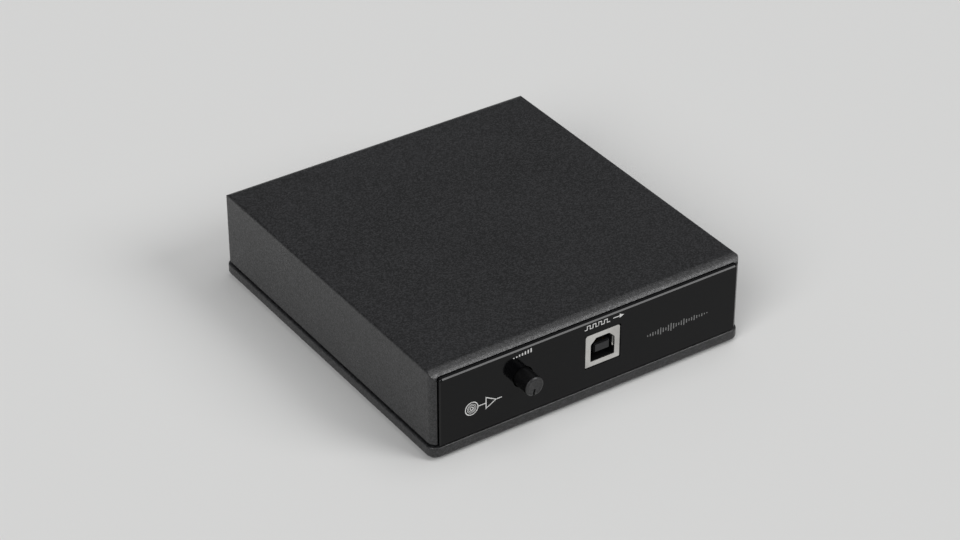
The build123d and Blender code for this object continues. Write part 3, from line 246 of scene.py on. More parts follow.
class Finish:
    """A material whose surface is worked out from where a point is on the piece."""

    def __init__(self, name, **even):
        self.material = bpy.data.materials.new(name)
        self.material.use_nodes = True
        self.tree = self.material.node_tree
        self.shader = self.tree.nodes["Principled BSDF"]
        self.show(**even)
        self.point = self.node("TexCoord", result="Object")

    def node(self, kind, settings=None, sockets=None, result=0):
        """Any node: its type, its settings, and its sockets' values or links."""
        made = self.tree.nodes.new("ShaderNode" + kind)
        for name, value in (settings or {}).items():
            setattr(made, name, value)
        for name, value in (sockets or {}).items():
            self.feed(made.inputs[name], value)
        return Wire(self.tree, made.outputs[result])

    def feed(self, socket, value):
        if isinstance(value, Wire):
            self.tree.links.new(value.socket, socket)
        elif socket.type == "RGBA":
            socket.default_value = (*value, 1)
        else:
            socket.default_value = value

    def show(self, **sockets):
        """Feeds the surface's own sockets."""
        for name, value in sockets.items():
            self.feed(self.shader.inputs[name.replace("_", " ")], value)

    def noise(self, scale, detail=2.0, roughness=0.5, point=None):
        sockets = {"Vector": point or self.point, "Scale": scale, "Detail": detail}
        return self.node("TexNoise", {}, {**sockets, "Roughness": roughness})

    def blend(self, first, second, share):
        """One colour where the share is 0 and the other where it is 1."""
        return self.node("Mix", {"data_type": "RGBA"}, {0: share, 6: first, 7: second}, 2)

    def limit(self, value, low, high, first=0.0, second=1.0):
        """Stretches the values from low to high over first to second, and stops there."""
        sockets = {"Value": value, "From Min": low, "From Max": high}
        return self.node("MapRange", {}, {**sockets, "To Min": first, "To Max": second})

    def along(self):
        """The point's three numbers, in metres."""
        return [self.node("SeparateXYZ", {}, {"Vector": self.point}, i) for i in range(3)]

    def stretched(self, *factors):
        """The point with its three numbers multiplied, which squeezes a noise along an axis."""
        sockets = {0: self.point, 1: factors}
        return self.node("VectorMath", {"operation": "MULTIPLY"}, sockets, "Vector")

    def relief(self, height, depth):
        """Feeds the surface's relief: the height's whole range is depth millimetres."""
        bump = self.node("Bump", {}, {"Height": height, "Distance": depth * mm})
        self.feed(self.shader.inputs["Normal"], bump)


def moulded(name, dark, pale, sheen, grain, index=1.5):
    """A moulded plastic: its least and most roughness, and its grain's pitch and depth."""
    smooth, rough = sheen
    pitch, depth = grain
    plastic = Finish(name, IOR=index)
    cells = {"Vector": plastic.point, "Scale": 1 / (pitch * mm)}
    hills = plastic.noise(cells["Scale"], 1.5)
    pits = plastic.node("TexVoronoi", {}, cells)
    shades = plastic.node("TexVoronoi", {}, cells, "Color")
    peaks = plastic.limit(plastic.node("SeparateColor", {}, {"Color": shades}), 0.3, 1.0)
    flow = plastic.noise(35.0, 3.0)
    colour = plastic.blend(dark, pale, peaks * 0.75 + flow * 0.25)
    roughness = plastic.limit(peaks * 0.6 + flow * 0.4, 0.0, 1.0, rough, smooth)
    plastic.show(Base_Color=colour, Roughness=roughness)
    plastic.relief(hills * 0.6 - pits * 0.4, depth)
    return plastic.material


def fit(piece, material, body, slot, *replaced):
    """Gives a piece its finish and its body, and names the solids that it stands for."""
    piece.data.materials.clear()
    piece.data.materials.append(material)
    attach(piece, body)
    if replaced:
        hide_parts(*replaced)


case_black = moulded(
    "case_black", (0.002, 0.002, 0.0022), (0.036, 0.036, 0.038), sheen=(0.24, 0.42), grain=(0.36, 0.07)
)

tray_half_width, tray_front_y, tray_rear_y = 54.65, -60.5, 56.6
sole_z, floor_z, tray_edge_z = 1.0, 3.0, 4.7
bay_half_width, bay_front_y, bay_rear_y = 52.85, -57.8, 53.9
lip_outside_x, lip_inside_x, lip_top_z = 52.75, 51.55, 7.9
groove_front_y, groove_rear_y = -56.5, 52.3
rib_half_width, rib_thickness, rib_root_z = 47.55, 1.2, 2.5
post_radius, pilot_radius = 3.2, 1.25
boss_places = [(x, y) for x in (-47.65, 47.65) for y in (-51.5, 47.6)]
standoff_places = [(x, y) for x in (-42.15, 42.15) for y in (-38.0, 34.1)]
foot_places = [(x, y) for x in (-38.15, 38.15) for y in (-44.0, 40.1)]
board_z = 10.7

sole = rounded(-tray_half_width, tray_half_width, tray_front_y, tray_rear_y, 3.0)
tray = (
    Form()
    .push(sole, "Z", sole_z, tray_edge_z)
    .round_edges(lambda a, b: abs(a.z - sole_z) + abs(b.z - sole_z) < 0.01, 1.0, 6)
    .round_edges(lambda a, b: abs(a.z - tray_edge_z) + abs(b.z - tray_edge_z) < 0.01, 0.5, 3)
    .piece("base_tray_moulding")
)
clear_z = 9.0
pocket = rounded(-lip_inside_x, lip_inside_x, bay_front_y, bay_rear_y, 0)
carve(tray, Form().push(pocket, "Z", floor_z, clear_z))
grooves = Form()
for start_y, end_y in ((bay_front_y, groove_front_y), (groove_rear_y, bay_rear_y)):
    groove = rounded(-bay_half_width, bay_half_width, start_y, end_y, 0)
    grooves.push(groove, "Z", floor_z, clear_z)
carve(tray, grooves)
lips = Form()
for side in (-1, 1):
    ends = sorted((side * lip_inside_x, side * lip_outside_x))
    lips.push(rounded(*ends, groove_front_y, groove_rear_y, 0), "Z", 4.0, lip_top_z)
carve(tray, lips, "UNION")
ribs = Form()
for start_y in (groove_front_y, groove_rear_y - rib_thickness):
    rib = rounded(-rib_half_width, rib_half_width, start_y, start_y + rib_thickness, 0)
    ribs.push(rib, "Z", rib_root_z, floor_z + 2.5)
for x in (-30.0, 0.0, 30.0):
    rib = rounded(x - rib_thickness / 2, x + rib_thickness / 2, -51.5, 47.6, 0)
    ribs.push(rib, "Z", rib_root_z, floor_z + 1.6)
for x, y in standoff_places:
    ribs.push(ring(x, y, post_radius), "Z", rib_root_z, board_z)
carve(tray, ribs, "UNION")
countersink = [(0.9, 0), (0.9, 3.1), (2.4, 1.7), (3.2, 1.7), (3.2, 0)]
recess_radius, recess_depth = 5.1, 0.8
holes = Form()
for x, y in standoff_places:
    holes.push(ring(x, y, pilot_radius, 24), "Z", floor_z, board_z + 1)
for x, y in boss_places:
    holes.turn(countersink, "Z", (x, y), 40)
for x, y in foot_places:
    holes.push(ring(x, y, recess_radius, 64), "Z", 0.5, sole_z + recess_depth)
carve(tray, holes)
soften(tray, 0.1)
fit(tray, case_black, "case", "cover_plastic", "base_tray")

# ---- Feet --------------------------------------------
# Low discs of soft black rubber, glued into the tray's round recesses. Fine rings
# in their soles grip the shelf.
rubber = moulded(
    "foot_rubber", (0.012, 0.012, 0.012), (0.034, 0.033, 0.032), sheen=(0.72, 0.9), grain=(0.25, 0.02)
)
foot_top_z, foot_radius = 1.8, 5.0
foot_nodes = ("foot_front_left", "foot_rear_left", "foot_front_right", "foot_rear_right")
for node, (x, y) in zip(foot_nodes, foot_places):
    profile = [(foot_top_z, 0), (foot_top_z, foot_radius), (0.4, foot_radius)]
    profile += [(0.15, 4.92), (0.02, 4.7), (0.0, 4.5)]
    for inner in (3.6, 2.6, 1.6):
        profile += [(0.0, inner + 0.35), (0.2, inner + 0.2), (0.2, inner), (0.0, inner - 0.15)]
    foot = Form().turn([*profile, (0.0, 0)], "Z", (x, y), 72).piece(node + "_rubber")
    fit(soften(foot, 0), rubber, "case", "foot_rubber", node)

# ---- Circuit board -----------------------------------
# A glass-fibre board with green solder resist over copper tracks. It is screwed to
# the standoffs and carries every socket, the level control and all the small parts.
board = Finish("board_green", IOR=1.5, Coat_Weight=0.35, Coat_Roughness=0.18)
x, y, _ = board.along()
lane = (x * 420.0 + board.noise(60.0, 0.0) * 1.6) % 1.0
rung = (y * 360.0 + board.noise(45.0, 0.0) * 1.4) % 1.0
zone = board.noise(38.0, 0.0) > 0.5
track = board.limit(abs(lane - 0.5) * zone + abs(rung - 0.5) * (1.0 - zone), 0.2, 0.24, 1.0, 0.0)
pad = board.node("TexVoronoi", {}, {"Vector": board.point, "Scale": 260.0}) < 0.17
resist = board.blend((0.006, 0.05, 0.018), (0.012, 0.1, 0.035), track)
board.show(
    Base_Color=board.blend(resist, (0.55, 0.56, 0.57), pad),
    Metallic=pad,
    Roughness=board.limit(board.noise(900.0), 0.3, 0.7, 0.3, 0.45),
)
board.relief(track * 0.7 + pad * 0.3, 0.03)


def dress(material, *names):
    """Gives solids that stay as they are their finish."""
    for name in names:
        nodes[name].data.materials.clear()
        nodes[name].data.materials.append(material)


dress(board.material, "circuit_board")

# ---- Small parts on the board ------------------------
# Capacitors in printed sleeves, film capacitors, chips, a relay, a choke and blue
# metal-film resistors stand on the board with their leads soldered under it.
board_top_z = 12.3


def metal(name, colour, tarnish, sheen, marks=6.0, depth=0.01):
    """A bare or plated metal, with fine marks across its length from the way it was worked."""
    smooth, rough = sheen
    made = Finish(name, Metallic=1.0)
    lines = made.noise(400.0, 2.0, 0.6, made.stretched(1.0, marks, 1.0))
    worked = lines * 0.5 + made.noise(150.0, 2.0) * 0.5
    cloud = made.noise(90.0, 4.0, 0.6)
    made.show(
        Base_Color=made.blend(colour, tarnish, made.limit(cloud, 0.45, 0.8)),
        Roughness=made.limit(worked * 0.7 + cloud * 0.3, 0.3, 0.7, smooth, rough),
    )
    made.relief(worked, depth)
    return made.material


def sleeved(name, top_z, places, radius):
    """A can in a dark printed sleeve with a pale stripe, its aluminium top bare."""
    can = Finish(name, IOR=1.5)
    x, y, z = can.along()
    stripe = 0.0
    for centre in places:
        nearby = (abs(x - centre[0] * mm) < radius * 0.35 * mm) * (y < (centre[1] - radius * 0.6) * mm)
        stripe = nearby * (y > (centre[1] - radius * 1.1) * mm) + stripe
    bare = z > (top_z - 0.05) * mm
    scuff = can.noise(500.0, 3.0)
    sleeve = can.blend((0.012, 0.014, 0.022), (0.42, 0.43, 0.45), stripe)
    can.show(
        Base_Color=can.blend(sleeve, (0.62, 0.62, 0.63), bare),
        Metallic=bare,
        Roughness=can.limit(scuff, 0.3, 0.7, 0.28, 0.42),
    )
    can.relief(scuff, 0.01)
    return can.material


board_width, board_depth, board_middle_y = 101.7, 108.0, -2.1
supply_places = [(-0.325 * board_width, board_middle_y + s * board_depth) for s in (0.167, 0.055)]
coupling_y = board_middle_y + 0.204 * board_depth
coupling_places = [(s * board_width, coupling_y) for s in (0.02, 0.12, 0.22, 0.32)]
supply_height, coupling_height = 12.5, 7.5
supply_sleeve = sleeved("supply_sleeve", board_top_z + supply_height, supply_places, radius=5.0)
dress(supply_sleeve, "supply_capacitors")
coupling_sleeve = sleeved("coupling_sleeve", board_top_z + coupling_height, coupling_places, radius=3.15)
dress(coupling_sleeve, "coupling_capacitors")
film_case = moulded(
    "film_case", (0.3, 0.018, 0.012), (0.42, 0.035, 0.022), sheen=(0.25, 0.4), grain=(0.8, 0.02)
)
dress(film_case, "film_capacitors")
chip_plastic = moulded(
    "chip_plastic", (0.014, 0.014, 0.015), (0.032, 0.032, 0.033), sheen=(0.5, 0.65), grain=(0.2, 0.012)
)
dress(chip_plastic, "input_opamp", "output_opamp", "usb_codec", "voltage_regulator")
crystal_can = metal("crystal_can", (0.6, 0.6, 0.6), (0.45, 0.45, 0.46), sheen=(0.2, 0.34))
dress(crystal_can, "crystal")
relay_case = moulded(
    "relay_case", (0.5, 0.5, 0.47), (0.58, 0.58, 0.55), sheen=(0.3, 0.45), grain=(0.7, 0.015)
)
dress(relay_case, "mute_relay")
choke_ferrite = moulded(
    "choke_ferrite", (0.02, 0.019, 0.018), (0.06, 0.057, 0.055), sheen=(0.45, 0.7), grain=(0.3, 0.04)
)
dress(choke_ferrite, "filter_choke")

# The resistors' bodies are dipped in pale blue lacquer, and coloured bands run round them.
resistor = Finish("resistor_blue", IOR=1.5, Coat_Weight=0.3)
x, y, _ = resistor.along()
row_low, row_high = (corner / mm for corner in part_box("resistors"))
long_way, middle = x, (row_low.x + row_high.x) / 2
if row_high.x - row_low.x > row_high.y - row_low.y:
    long_way, middle = y, (row_low.y + row_high.y) / 2
from_middle = long_way - middle * mm
band_half_width, body_half_length = 0.25, 3.2
colour = resistor.blend((0.12, 0.3, 0.42), (0.16, 0.36, 0.48), resistor.noise(700.0))
for offset, band in (
    (-2.4, (0.16, 0.05, 0.01)),
    (-1.4, (0.01, 0.01, 0.01)),
    (-0.5, (0.01, 0.01, 0.01)),
    (0.4, (0.35, 0.02, 0.01)),
    (2.3, (0.16, 0.05, 0.01)),
):
    colour = resistor.blend(colour, band, abs(from_middle - offset * mm) < band_half_width * mm)
lead = abs(from_middle) > body_half_length * mm
resistor.show(
    Base_Color=resistor.blend(colour, (0.6, 0.6, 0.6), lead),
    Metallic=lead,
    Roughness=resistor.limit(resistor.noise(300.0), 0.3, 0.7, 0.25, 0.4),
)
dress(resistor.material, "resistors")

# Zinc-plated pan-head screws with cross recesses hold the board to its standoffs.
zinc = metal(
    "bright_screw", (0.56, 0.57, 0.59), (0.46, 0.46, 0.45), sheen=(0.22, 0.38), marks=3.0, depth=0.006
)
cross = ((1.45, 0.26), (0.26, 1.45))
shank_radius = 1.2


def pan_screw(name, axis, centre, head, reach, head_radius, head_height):
    """A pan-head screw with a cross recess. The flat under its head is at head along the axis."""
    rise = [
        (head_height * math.sin(turn), head_radius - 0.75 * head_height * (1 - math.cos(turn)))
        for turn in (math.radians(9 * step) for step in range(11))
    ]
    profile = [(head + a, r) for a, r in rise] + [(head + head_height, 0)]
    profile += [(head - reach, 0), (head - reach + 1.0, shank_radius), (head, shank_radius)]
    screw = Form().turn(profile, axis, centre, 48).piece(name)
    x, y = centre
    recess_floor, over_head = head + head_height - 0.9, head + head_height + 1
    for across, up in cross:
        slot = rounded(x - across, x + across, y - up, y + up, 0.2, steps=3)
        carve(screw, Form().push(slot, axis, recess_floor, over_head))
    return soften(screw, 0.06)


for i, place in enumerate(standoff_places):
    name = f"board_screw_{i + 1}"
    screw = pan_screw(name, "Z", place, board_top_z, reach=6.5, head_radius=2.8, head_height=1.9)
    fit(screw, zinc, "case", "bright_screw", "board_screws")

# ---- Level control -----------------------------------
# A small rotary control: a plated plate and threaded bush at the front, a plastic
# housing with its track at the back, and a flatted shaft that turns rotor and wiper.
plate_metal = metal("plate_metal", (0.55, 0.54, 0.5), (0.42, 0.41, 0.38), sheen=(0.3, 0.45))
dress(plate_metal, "pot_front_plate")
shaft_metal = metal("shaft_metal", (0.6, 0.6, 0.6), (0.5, 0.5, 0.5), sheen=(0.22, 0.35), marks=20.0)
dress(shaft_metal, "level_shaft")
pot_plastic = moulded(
    "pot_plastic", (0.015, 0.015, 0.016), (0.035, 0.035, 0.036), sheen=(0.45, 0.6), grain=(0.3, 0.02)
)
dress(pot_plastic, "pot_housing", "pot_rotor")
phenolic = moulded(
    "phenolic", (0.14, 0.075, 0.03), (0.22, 0.12, 0.05), sheen=(0.4, 0.55), grain=(0.5, 0.02)
)
dress(phenolic, "pot_track")
tinned = metal("tinned", (0.58, 0.58, 0.56), (0.46, 0.46, 0.45), sheen=(0.28, 0.45))
dress(tinned, "pot_terminals", "jack_spring", "ground_bracket")
gold = metal("contact_gold", (0.78, 0.56, 0.24), (0.62, 0.44, 0.2), sheen=(0.2, 0.32))
dress(gold, "pot_wiper", "usb_contacts")

# ---- USB socket --------------------------------------
# A shell folded from bright nickel-plated sheet round a black moulded body. Its face
# lies in the panel's cut-out, with the D-shaped mouth, the tongue and four contacts.
usb_x, usb_z = 3.65, 17.8
usb_front_y, usb_back_y = -60.7, -44.3
usb_half_width, usb_sheet, usb_top_z = 6.02, 0.4, board_top_z + 11.0
usb_leg_front_y, usb_leg_back_y, lead_end_z = -53.8, -51.6, 9.3
mouth_half_width, mouth_half_height, mouth_clip = 4.225, 3.89, 1.9


def clipped(x, half_width, low, high, clip):
    """An upright oblong round x, with its two upper corners cut off at 45 degrees."""
    left, right = x - half_width, x + half_width
    top = [(right - clip, high), (left + clip, high)]
    return [(left, low), (right, low), (right, high - clip), *top, (left, high - clip)]


def has_along(low_y, high_y):
    """Chooses the edges that run from front to back between two depths."""
    low, high = low_y - 0.01, high_y + 0.01
    return lambda a, b: abs(a.y - b.y) > 0.1 and low < a.y < high and low < b.y < high


def mouth(start_y, end_y):
    """The D-shaped hollow that the plug goes into."""
    low, high = usb_z - mouth_half_height, usb_z + mouth_half_height
    outline = clipped(usb_x, mouth_half_width, low, high, mouth_clip)
    return Form().push(outline, "Y", start_y, end_y).round_edges(has_along(start_y, end_y), 0.3, 4)


outline = clipped(usb_x, usb_half_width, board_top_z, usb_top_z, 0.5)
shell = (
    Form()
    .push(outline, "Y", usb_front_y, usb_back_y)
    .round_edges(has_along(usb_front_y, usb_back_y), 0.25, 3)
    .piece("usb_socket_shell")
)
inside = clipped(usb_x, usb_half_width - usb_sheet, board_top_z - 1, usb_top_z - usb_sheet, 0.5)
carve(shell, Form().push(inside, "Y", usb_front_y + usb_sheet, usb_back_y - usb_sheet))
carve(shell, mouth(usb_front_y - 1, usb_front_y + 1))
fingers = Form()
wall = usb_half_width - usb_sheet
bend = [(wall, 6.4), (3.94, 1.0), (4.14, 0.65), (4.4, 0.65), (4.3, 1.05), (wall, 6.0)]
for side in (-1, 1):
    finger = [(usb_x + side * across, usb_front_y + deep) for across, deep in bend]
    fingers.push(finger, "Z", usb_z - 1.6, usb_z + 1.8)
    low_x, high_x = sorted((usb_x + side * wall, usb_x + side * usb_half_width))
    leg = rounded(low_x, high_x, usb_leg_front_y, usb_leg_back_y, 0)
    fingers.push(leg, "Z", lead_end_z, board_top_z + 0.1)
carve(shell, fingers, "UNION")
soften(shell, 0.07)
nickel = Finish("usb_shell_metal", Metallic=1.0)
roll_lines = nickel.noise(300.0, 3.0, 0.6, nickel.stretched(9.0, 1.0, 0.7))
stain = nickel.noise(120.0, 4.0, 0.6)
stained = nickel.limit(stain, 0.42, 0.75)
nickel.show(
    Base_Color=nickel.blend((0.66, 0.65, 0.63), (0.5, 0.49, 0.47), stained),
    Roughness=nickel.limit(roll_lines * 0.7 + stain * 0.3, 0.3, 0.7, 0.24, 0.42),
)
nickel.relief(roll_lines, 0.008)
fit(shell, nickel.material, "case", "usb_shell_metal", "usb_shell")

# The body's plastic is near black: black plastic, darkened further as a painted shade inside the mouth.
usb_black_and_painted_shade = moulded(
    "usb_body_plastic",
    (0.002, 0.002, 0.0022),
    (0.005, 0.005, 0.0052),
    sheen=(0.6, 0.8),
    grain=(0.22, 0.015),
    index=1.18,
)
body_front_y, body_back_y = usb_front_y + usb_sheet, usb_back_y - usb_sheet
mouth_floor_y, tongue_end_y = body_front_y + 8.8, usb_front_y + 0.3
body_half_width, body_height = 5.6, 10.58
outline = clipped(usb_x, body_half_width, board_top_z, board_top_z + body_height, 0.5)
usb_core = Form().push(outline, "Y", body_front_y, body_back_y).piece("usb_socket_body")
carve(usb_core, mouth(body_front_y - 1, mouth_floor_y))
tip, tongue = (
    rounded(usb_x - across, usb_x + across, usb_z - up, usb_z + up, radius, steps=3)
    for across, up, radius in ((2.4, 1.2, 0.1), (2.8, 1.6, 0.3))
)
layers = ((tongue_end_y, tip), (tongue_end_y + 0.4, tongue), (mouth_floor_y + 0.5, tongue))
carve(usb_core, Form().stack("Y", *layers), "UNION")

# Windows at its sides for the spring fingers, and grooves in the tongue for the contacts.
windows = Form()
for side in (-1, 1):
    outer_x = sorted((usb_x + side * 3.88, usb_x + side * 5.64))
    window = rounded(*outer_x, body_front_y - 0.1, body_front_y + 6.8, 0)
    windows.push(window, "Z", usb_z - 1.52, usb_z + 2.12)
for column in (-1, 1):
    left = usb_x + column * 1.25 - 0.5
    for strip_z, tail_y in ((usb_z + 1.3, -46.7), (usb_z - 1.6, -48.7)):
        strip = rounded(left, left + 1.0, strip_z, strip_z + 0.31, 0)
        windows.push(strip, "Y", tongue_end_y + 0.8, tail_y)
carve(usb_core, windows)
soften(usb_core, 0.05)
fit(usb_core, usb_black_and_painted_shade, "case", "usb_body_plastic", "usb_body")


def face_with(piece, material, forward, low_y, high_y):
    """Gives a second finish to the faces between two depths that look forward enough."""
    piece.data.materials.append(material)
    for face in piece.data.polygons:
        if face.normal.y < -forward and low_y < face.center.y / mm < high_y:
            face.material_index = 1


# The tongue's front face gets a paler copy of the same black plastic, a painted highlight.
tongue_painted_highlight = moulded(
    "usb_tongue_end_painted_highlight",
    (0.01, 0.01, 0.0105),
    (0.02, 0.02, 0.0205),
    sheen=(0.36, 0.5),
    grain=(0.22, 0.02),
    index=1.4,
)
face_with(usb_core, tongue_painted_highlight, 0.9, tongue_end_y - 0.1, tongue_end_y + 0.1)

# ---- Phono and line sockets --------------------------
# Two moulded blocks hold two sockets each. A socket is a nickel-plated barrel turned
# from brass, a nylon insulator pressed into it, white for left and red for right, and
# a sprung cup for the plug's pin.
socket_z, block_x, half_pitch = 19.1, 15.4833, 7.0
sockets = {
    "line_out_right": -block_x - half_pitch,
    "line_out_left": -block_x + half_pitch,
    "phono_in_right": block_x - half_pitch,
    "phono_in_left": block_x + half_pitch,
}
barrel_back_y, plate_back_y, barrel_end_y = 49.4, 52.4, 62.9
barrel_radius, barrel_bore = 4.15, 3.45
block_black = moulded(
    "socket_block_plastic",
    (0.014, 0.014, 0.015),
    (0.03, 0.03, 0.031),
    sheen=(0.42, 0.58),
    grain=(0.3, 0.02),
)
dress(block_black, "line_out_block", "phono_in_block")
barrel_plate = metal(
    "barrel_plate", (0.66, 0.65, 0.62), (0.54, 0.52, 0.49), sheen=(0.14, 0.27), marks=26.0, depth=0.004
)
cup_tin = metal("cup_tin", (0.6, 0.6, 0.58), (0.48, 0.48, 0.47), sheen=(0.25, 0.42))
red = moulded(
    "insulator_red", (0.42, 0.012, 0.01), (0.52, 0.022, 0.018), sheen=(0.3, 0.42), grain=(0.5, 0.012)
)
white = moulded(
    "insulator_white", (0.66, 0.65, 0.62), (0.74, 0.73, 0.7), sheen=(0.32, 0.45), grain=(0.5, 0.012)
)
for node, x in sockets.items():
    profile = [(barrel_back_y, barrel_bore), (barrel_back_y, 3.85), (51.6, 3.85), (51.6, 4.9)]
    profile += [(plate_back_y, 4.9), (plate_back_y, 4.4), (53.98, 4.4), (54.15, barrel_radius)]
    profile += [(62.45, barrel_radius), (62.7, 4.08), (62.85, 3.93), (barrel_end_y, 3.75)]
    profile += [(62.86, 3.58), (62.7, barrel_bore)]
    barrel = Form().turn(profile, "Y", (x, socket_z), 96).piece(node + "_barrel_turned")
    leg = rounded(x - 0.8, x + 0.8, 50.25, 50.75, 0)
    carve(barrel, Form().push(leg, "Z", lead_end_z, 15.35), "UNION")
    fit(soften(barrel, 0.04), barrel_plate, "case", "barrel_plate", node + "_barrel")

    profile = [(barrel_back_y, 1.65), (barrel_back_y, 3.43), (62.2, 3.43), (62.4, 3.38)]
    profile += [(62.5, 3.22), (62.5, 2.6), (62.3, 2.45), (62.3, 2.2), (62.15, 1.85), (61.8, 1.65)]
    insulator = Form().turn(profile, "Y", (x, socket_z), 64).piece(node + "_insulator_moulded")
    nylon, slot = (red, "insulator_red") if node.endswith("right") else (white, "insulator_white")
    fit(soften(insulator, 0), nylon, "case", slot, node + "_insulator")
    dress(cup_tin, node + "_contact")

# ---- Ground post -------------------------------------
# A plated 4 mm stud goes through the rear panel, held by a bracket inside and a thin
# hexagon nut outside. A turntable's ground lead is clamped under the washer by a
# knurled brass thumb nut.
post_x, stud_radius, thread_pitch, thread_depth = 38.95, 2.0, 0.7, 0.36
post_centre = (post_x, socket_z)
stud_head_y, thread_start_y, post_end_y = 49.2, 51.6, 66.9
point_length, point_drop = 1.1, 0.9
head = [(stud_head_y, 0), (stud_head_y, 3.4), (thread_start_y, 3.4), (thread_start_y, 0)]
stud_form = Form().turn(head, "Y", post_centre, 48)
steps = 48
rows = []
row_count = round((post_end_y - thread_start_y) / thread_pitch * 8)
for row in range(row_count + 1):
    along = thread_start_y + (post_end_y - thread_start_y) * row / row_count
    points = []
    for step in range(steps):
        lead = (along / thread_pitch - step / steps) % 1.0
        groove = max(0.0, 1.0 - abs(lead - 0.5) * 2.6)
        point = max(0.0, (along - post_end_y) / point_length + 1.0)
        radius = stud_radius - max(thread_depth * groove, point_drop * point**2)
        turn = math.tau * step / steps
        place = (post_x + radius * math.cos(turn), along, socket_z + radius * math.sin(turn))
        points.append(stud_form.mesh.verts.new(Vector(place) * mm))
    rows.append(points)
for row, following in zip(rows, rows[1:]):
    for i in range(steps):
        stud_form.mesh.faces.new((row[i - 1], row[i], following[i], following[i - 1]))
stud_form.mesh.faces.new(rows[0])
stud_form.mesh.faces.new(rows[-1])
bmesh.ops.recalc_face_normals(stud_form.mesh, faces=stud_form.mesh.faces)
stud = soften(stud_form.piece("ground_stud_threaded"), 0, smooth=50)
stud_plate = metal(
    "stud_plate", (0.6, 0.6, 0.6), (0.47, 0.47, 0.46), sheen=(0.2, 0.34), marks=4.0, depth=0.004
)
fit(stud, stud_plate, "case", "stud_plate", "ground_stud")

nut_low, nut_high, nut_flat = 53.9, 56.1, 3.5
hexagon = ring(post_x, socket_z, nut_flat / math.cos(math.pi / 6), 6, 30.0)
lock_nut = Form().push(hexagon, "Y", nut_low, nut_high).piece("ground_lock_nut_hexagon")
chamfered = [(nut_low, 0), (nut_low, 3.6), (nut_low + 0.35, 4.1), (nut_high - 0.35, 4.1)]
chamfered += [(nut_high, 3.6), (nut_high, 0)]
carve(lock_nut, Form().turn(chamfered, "Y", post_centre, 72), "INTERSECT")
bore = [(53, 0), (53, 2.5), (nut_low, 2.4), (nut_low + 0.35, 2.03)]
bore += [(nut_high - 0.35, 2.03), (nut_high, 2.4), (57, 2.5), (57, 0)]
carve(lock_nut, Form().turn(bore, "Y", post_centre, 48))
fit(soften(lock_nut, 0.05), stud_plate, "case", "stud_plate", "ground_lock_nut")

profile = [(56.4, 2.2), (56.4, 4.3), (56.46, 4.44), (56.6, 4.5), (57.05, 4.5)]
profile += [(57.16, 4.46), (57.2, 4.36), (57.2, 2.3), (57.12, 2.2)]
washer = Form().turn(profile, "Y", post_centre, 72).piece("ground_washer_stamped")
fit(soften(washer, 0), stud_plate, "ground_washer", "stud_plate", "ground_washer")

knurls, head_radius, groove_depth = 24, 4.75, 0.35
head_back_y, head_end_y = 58.3, 62.3
grooved = []
for knurl in range(knurls):
    for share, sunk in ((-0.5, 1.0), (-0.2, 0.0), (0.0, 0.0), (0.2, 0.0)):
        turn = math.tau * (knurl + share) / knurls
        reach = head_radius - groove_depth * sunk
        grooved.append((post_x + reach * math.cos(turn), socket_z + reach * math.sin(turn)))
thumb_nut = Form().push(grooved, "Y", head_back_y, head_end_y).piece("ground_thumb_nut")
rim = [(head_back_y, 0), (head_back_y, 4.3), (58.45, 4.55), (58.7, head_radius)]
rim += [(61.9, head_radius), (62.15, 4.55), (head_end_y, 4.3), (head_end_y, 3.4)]
rim += [(62.1, 3.2), (62.1, 0)]
carve(thumb_nut, Form().turn(rim, "Y", post_centre, 96), "INTERSECT")
hub = [(57.3, 0), (57.3, 3.5), (57.4, 3.6), (58.5, 3.6), (58.5, 0)]
carve(thumb_nut, Form().turn(hub, "Y", post_centre), "UNION")
bore = [(56.9, 0), (56.9, 2.5), (57.3, 2.35), (57.6, 2.05)]
bore += [(61.8, 2.05), (62.15, 2.4), (63, 2.5), (63, 0)]
carve(thumb_nut, Form().turn(bore, "Y", post_centre, 48))
brass = metal(
    "thumb_nut_brass", (0.62, 0.44, 0.17), (0.4, 0.28, 0.11), sheen=(0.2, 0.38), marks=5.0, depth=0.006
)
fit(soften(thumb_nut, 0.05), brass, "ground_nut", "thumb_nut_brass", "ground_nut")

# ---- Power socket ------------------------------------
# A moulded socket for the adaptor's hollow plug. Its nose fills a hole in the rear
# panel, and it has a turned centre pin and a leaf spring under the bore.
jack_x, jack_z, jack_back_y, jack_floor_y, nose_y = -38.95, 18.8, 39.9, 44.4, 53.9
jack_black = moulded(
    "jack_plastic", (0.012, 0.012, 0.013), (0.028, 0.028, 0.029), sheen=(0.38, 0.52), grain=(0.3, 0.02)
)
block = clipped(jack_x, 4.5, board_top_z, jack_z + 4.5, 1.0)
jack = Form().push(block, "Y", jack_back_y, plate_back_y).piece("power_socket_housing")
nose = [(52, 0), (52, 4.2), (nose_y - 0.2, 4.2), (nose_y - 0.05, 4.12), (nose_y, 3.98), (nose_y, 0)]
carve(jack, Form().turn(nose, "Y", (jack_x, jack_z), 80), "UNION")
bore = [(jack_floor_y, 0), (jack_floor_y, 3.15), (nose_y - 0.45, 3.15), (nose_y - 0.1, 3.32)]
carve(jack, Form().turn([*bore, (nose_y + 0.5, 3.7), (nose_y + 0.5, 0)], "Y", (jack_x, jack_z), 80))
channel = Form().push(ring(jack_x, jack_z, 1.02, 32), "Y", 39, 45)
channel.push(rounded(jack_x - 1.22, jack_x + 1.22, 12, 17.5, 0), "Y", jack_floor_y, 51.42)
carve(jack, channel)
fit(soften(jack, 0.08), jack_black, "case", "jack_plastic", "jack_housing")

